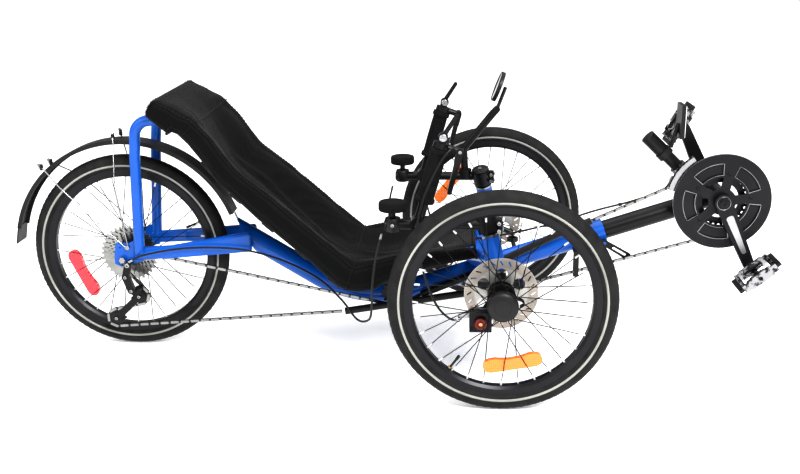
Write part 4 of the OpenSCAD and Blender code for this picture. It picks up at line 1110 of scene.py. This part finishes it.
def frame_trim():
    """Caps, bands, clips, a weld bead and bolts on the frame, the front lens and the stays' end caps."""
    trim = Piece()
    post = (POST_TOP - POST_FOOT).normalized()
    # Rounded cap and clamp bands of the accessory post
    trim.lathe(POST_TOP, post, [(17, -1), (17.4, 0.5), (16.4, 2), (12, 3), (0, 3.4)], "black_plastic", 40)
    for share in (0.2, 0.72):
        trim.lathe(POST_FOOT.lerp(POST_TOP, share), post,
                   [(14.4, -1.6), (15.6, -1.2), (15.6, 1.2), (14.4, 1.6)], "black_metal", 40)
    # Bottom bracket cups with notches, and axle nuts
    for s in (-1, 1):
        trim.lathe(CRANK_CENTRE + Y * s * 33 * MM, Y * s, [(23.1, 0), (24.6, 0.6), (24.6, 5.4), (23.1, 6)],
                   "black_metal", 48)
        for k in range(8):
            spot = CRANK_CENTRE + Y * s * 40 * MM + facing(2 * math.pi * k / 8) * 21 * MM
            trim.tube([spot, spot + Y * s * 4.2 * MM], 1.6, "black_metal", 8)
        trim.lathe(at(-900, s * 79.5, 244), Y * s,
                   [(0, 0), (8.6, 0), (8.6, 5.4), (7.4, 6.4), (3.4, 6.6), (0, 6)], "steel", 36,
                   hexagonal=(1, 2, 3))
    # Collar bolts at the boom clamp, and both heads of the seat bracket's bolt
    for u in (-26, -10):
        trim.bolt(at(259, 7, 302) + BOOM_WAY * u * MM - BOOM_UP * 27 * MM, Y, 4.2)
    trim.bolt(at(-338, -12, 218), OUT, 6.4)
    trim.bolt(at(-338, 12, 218), -OUT, 6.4)
    # Weld bead round the main tube
    trim.lathe(at(-52, 0, 200), BOOM_WAY, [(25.9, -1.6), (26.4, 0), (25.9, 1.6)], "frame_paint", 56)
    # Clips that hold the front shift cable to the tube and the boom
    for x, z in ((60, 288), (180, 321), (300, 357)):
        trim.lathe(at(x, 30, z), BOOM_WAY, [(2.6, -4), (4, -3.6), (4, 3.6), (2.6, 4)], "black_plastic", 20)
    # Bolts of the rear derailleur and of its two wheels
    for x, y, z, radius in ((-884, -96, 236, 6), (-892, -96, 205, 4.4), (-880, -96, 170, 4.4),
                            (-872, -66, 145, 4.2), (-933, -66, 88, 4.2)):
        trim.bolt(at(x, y, z), OUT, radius)
    trim.make("frame_trim", "frame")
    lens = Piece()
    lens.slab([(-25, -37), (25, -37), (25, 37), (-25, 37)], at(429.1, 0, 567), Y, Z, 2.2, "lens")
    lens.make("front_lens", "frame", bevel=1.2)
    caps = Piece()
    for x, z in ((-914, 536), (-1096, 462)):
        for s in (-1, 1):
            caps.lathe(at(x, s * 30, z - 8), Z,
                       [(0, 0), (4, 0.6), (4.4, 3), (4.4, 12), (3.4, 15), (0, 15.6)], "black_plastic", 20)
    caps.make("mudguard_stays_caps", "frame")


def crank_trim():
    """The right arm's bright plate, bolts, and thin bright edges on the guard."""
    trim = Piece()
    square = facing(CRANK_ANGLE + math.pi / 2)
    face, guard = -75.2, -58            # y of the arm's and the guard's outer faces
    # Silver tapered plate let into the right arm, under a thin ring round the axle
    plate = [(38, -8.6), (60, -8.2), (128, -5.6), (132, -4), (133.4, 0), (132, 4), (128, 5.6), (60, 8.2),
             (38, 8.6), (35, 6), (34, 0), (35, -6)]
    trim.slab(plate, CRANK_CENTRE + Y * (face + 1.8) * MM, CRANK_WAY, square, 2.2, "aluminium")
    ring = [CRANK_CENTRE + Y * face * MM + facing(math.pi * k / 24) * 15.5 * MM for k in range(49)]
    trim.tube(ring, 0.7, "aluminium", 6)
    # Spindle bolts and pedal axle ends
    for s in (-1, 1):
        trim.bolt(CRANK_CENTRE + Y * s * 75 * MM, Y * s, 9.6, "black_metal", 3)
        end = CRANK_CENTRE - CRANK_WAY * s * CRANK_MM * MM
        trim.lathe(end + Y * s * 74 * MM, Y * s, [(0, 0), (8, 0), (8, 3), (0, 3)], "steel", 6)
    for k in range(5):
        # A chainring bolt on each arm of the spider
        turned = CRANK_ANGLE + 2 * math.pi * k / 5
        trim.bolt(CRANK_CENTRE + facing(turned) * 65 * MM + Y * guard * MM, OUT, 4.4, "black_metal", 2)
        # Machined edge round the window between two arms
        inner, outer = ([(r, t) for t in range(-24, 25, 4)] for r in (62.4, 89.6))
        loop = inner + outer[::-1] + inner[:1]
        edge = [CRANK_CENTRE + facing(turned + math.radians(36 + t)) * r * MM + Y * guard * MM
                for r, t in loop]
        trim.tube(edge, 0.9, "aluminium", 6)
    rim = [CRANK_CENTRE + facing(t * math.pi / 36) * 112.3 * MM + Y * (guard + 0.4) * MM for t in range(73)]
    trim.tube(rim, 0.5, "aluminium", 6)
    trim.make("crank_trim", "crankset")


def pedal_trim():
    """Black cage rails, a sprung clip with its bar on each face, and grip pins."""
    for side, s, leaning in (("right", -1, 40), ("left", 1, 60)):
        body = JOINTS[f"{side}_pedal_spin"]["child"]
        trim = Piece()
        middle = CRANK_CENTRE - CRANK_WAY * s * CRANK_MM * MM + Y * s * 130 * MM
        flat = facing(math.radians(leaning))
        thick = facing(math.radians(leaning + 90))
        for u in (-45, 45):
            rail = [middle + (flat * u + Y * v) * MM for v in (-36, -30, 0, 30, 36)]
            trim.tube(rail, 1, "black_plastic", 12, flat=(3.4, 10.4, thick))
        for up in (thick, -thick):
            for u in (-18, 18):
                hoop = [(u * 0.3, 26), (u, 22), (u * 1.25, 8), (u * 1.25, -8), (u, -22), (u * 0.3, -26)]
                line = [middle + (flat * a + Y * b + up * 13.4) * MM for a, b in hoop]
                trim.tube(line, 1.9, "steel", 10)
            bar = [middle + (flat * a + up * 14.2) * MM for a in (-24, 24)]
            trim.tube(bar, 3.2, "black_metal", 12)
            for u in (-41, 41):
                for v in (-25, 0, 25):
                    spot = middle + (flat * u + Y * v + up * 9) * MM
                    trim.lathe(spot, up, [(0, 0), (2, 0), (2, 4.4), (1.3, 5), (0, 5)], "steel", 12)
        trim.make(f"{side}_pedal_trim", body)


def mirror_trim():
    """The mirror's glass and its rim."""
    glass = Piece(mirrored=True)
    out = Vector((-0.93, 0, 0.36)).normalized()
    face = at(16, -235, 612) + out * 8 * MM
    glass.lathe(face, out, [(0, 0), (35, 0), (35, 0.9), (34, 1.3), (0, 1.3)], "mirror", 64)
    glass.lathe(face, out, [(35, -1), (39, -0.6), (39.4, 1), (38, 2.2), (35.6, 1.8), (35, 0.4)],
                "black_plastic", 64)
    glass.make("mirror_glass", "mirror", sharp=40)


frame_trim()
crank_trim()
pedal_trim()
mirror_trim()


# ---- Floor and light (metres) ----

FLOOR_HALF = 60
FLOOR_Z = -0.0006
# Heights and tones: a dark band low down for metal and paint to mirror, under a bright ceiling
SKY = ((0.0, 1.0), (0.03, 0.9), (0.08, 0.12), (0.2, 0.16), (0.42, 0.65), (1.0, 1.0))
LAMPS = (("key", (1.6, -3.2, 3.4), 1.5, 300), ("fill", (-3.2, -2.0, 2.2), 2.6, 70),
         ("top", (0.0, 0.6, 4.2), 3.6, 120))        # name, place, width and power in watts
AIM = Vector((0, 0, 0.3))


def add_floor():
    """A large, pale, slightly glowing floor, so that only soft shadows show on it."""
    mesh = bpy.data.meshes.new("floor")
    corners = [(x, y, 0) for x, y in ((-1, -1), (1, -1), (1, 1), (-1, 1))]
    mesh.from_pydata([Vector(corner) * FLOOR_HALF for corner in corners], [], [(0, 1, 2, 3)])
    floor = bpy.data.objects.new("floor", mesh)
    floor.location.z = FLOOR_Z
    bpy.context.scene.collection.objects.link(floor)
    n = Nodes("floor_pale")
    tone = n.ramp(n.noise(3, 3), [(0.3, (0.93, 0.93, 0.93)), (0.7, (0.96, 0.96, 0.96))])
    mesh.materials.append(n.set(Base_Color=tone, Roughness=0.7, Emission_Color=(1.0, 1.0, 1.0),
                                Emission_Strength=0.3))


def add_sky():
    """A world whose brightness depends on the height of the direction only."""
    world = bpy.data.worlds.new("studio")
    world.use_nodes = True
    bpy.context.scene.world = world
    tree = world.node_tree
    background = next(node for node in tree.nodes if node.type == "BACKGROUND")
    background.inputs["Strength"].default_value = 1.0
    coords = tree.nodes.new("ShaderNodeTexCoord")
    parts = tree.nodes.new("ShaderNodeSeparateXYZ")
    sky = tree.nodes.new("ShaderNodeValToRGB")
    tree.links.new(coords.outputs["Generated"], parts.inputs[0])
    tree.links.new(parts.outputs["Z"], sky.inputs["Fac"])
    tree.links.new(sky.outputs["Color"], background.inputs["Color"])
    while len(sky.color_ramp.elements) < len(SKY):
        sky.color_ramp.elements.new(0.5)
    for element, (height, tone) in zip(sky.color_ramp.elements, SKY):
        element.position = height
        element.color = (tone, tone, tone, 1)


def add_lamps():
    """Large square lamps, all aimed at the middle of the tricycle."""
    for name, place, size, power in LAMPS:
        data = bpy.data.lights.new(name, "AREA")
        data.shape = "SQUARE"
        data.size = size
        data.energy = power
        lamp = bpy.data.objects.new(name, data)
        lamp.location = place
        lamp.rotation_mode = "QUATERNION"
        lamp.rotation_quaternion = (AIM - Vector(place)).to_track_quat("-Z", "Y")
        bpy.context.scene.collection.objects.link(lamp)


bpy.context.scene.view_settings.view_transform = "Standard"
bpy.context.scene.view_settings.gamma = 0.8
add_floor()
add_sky()
add_lamps()
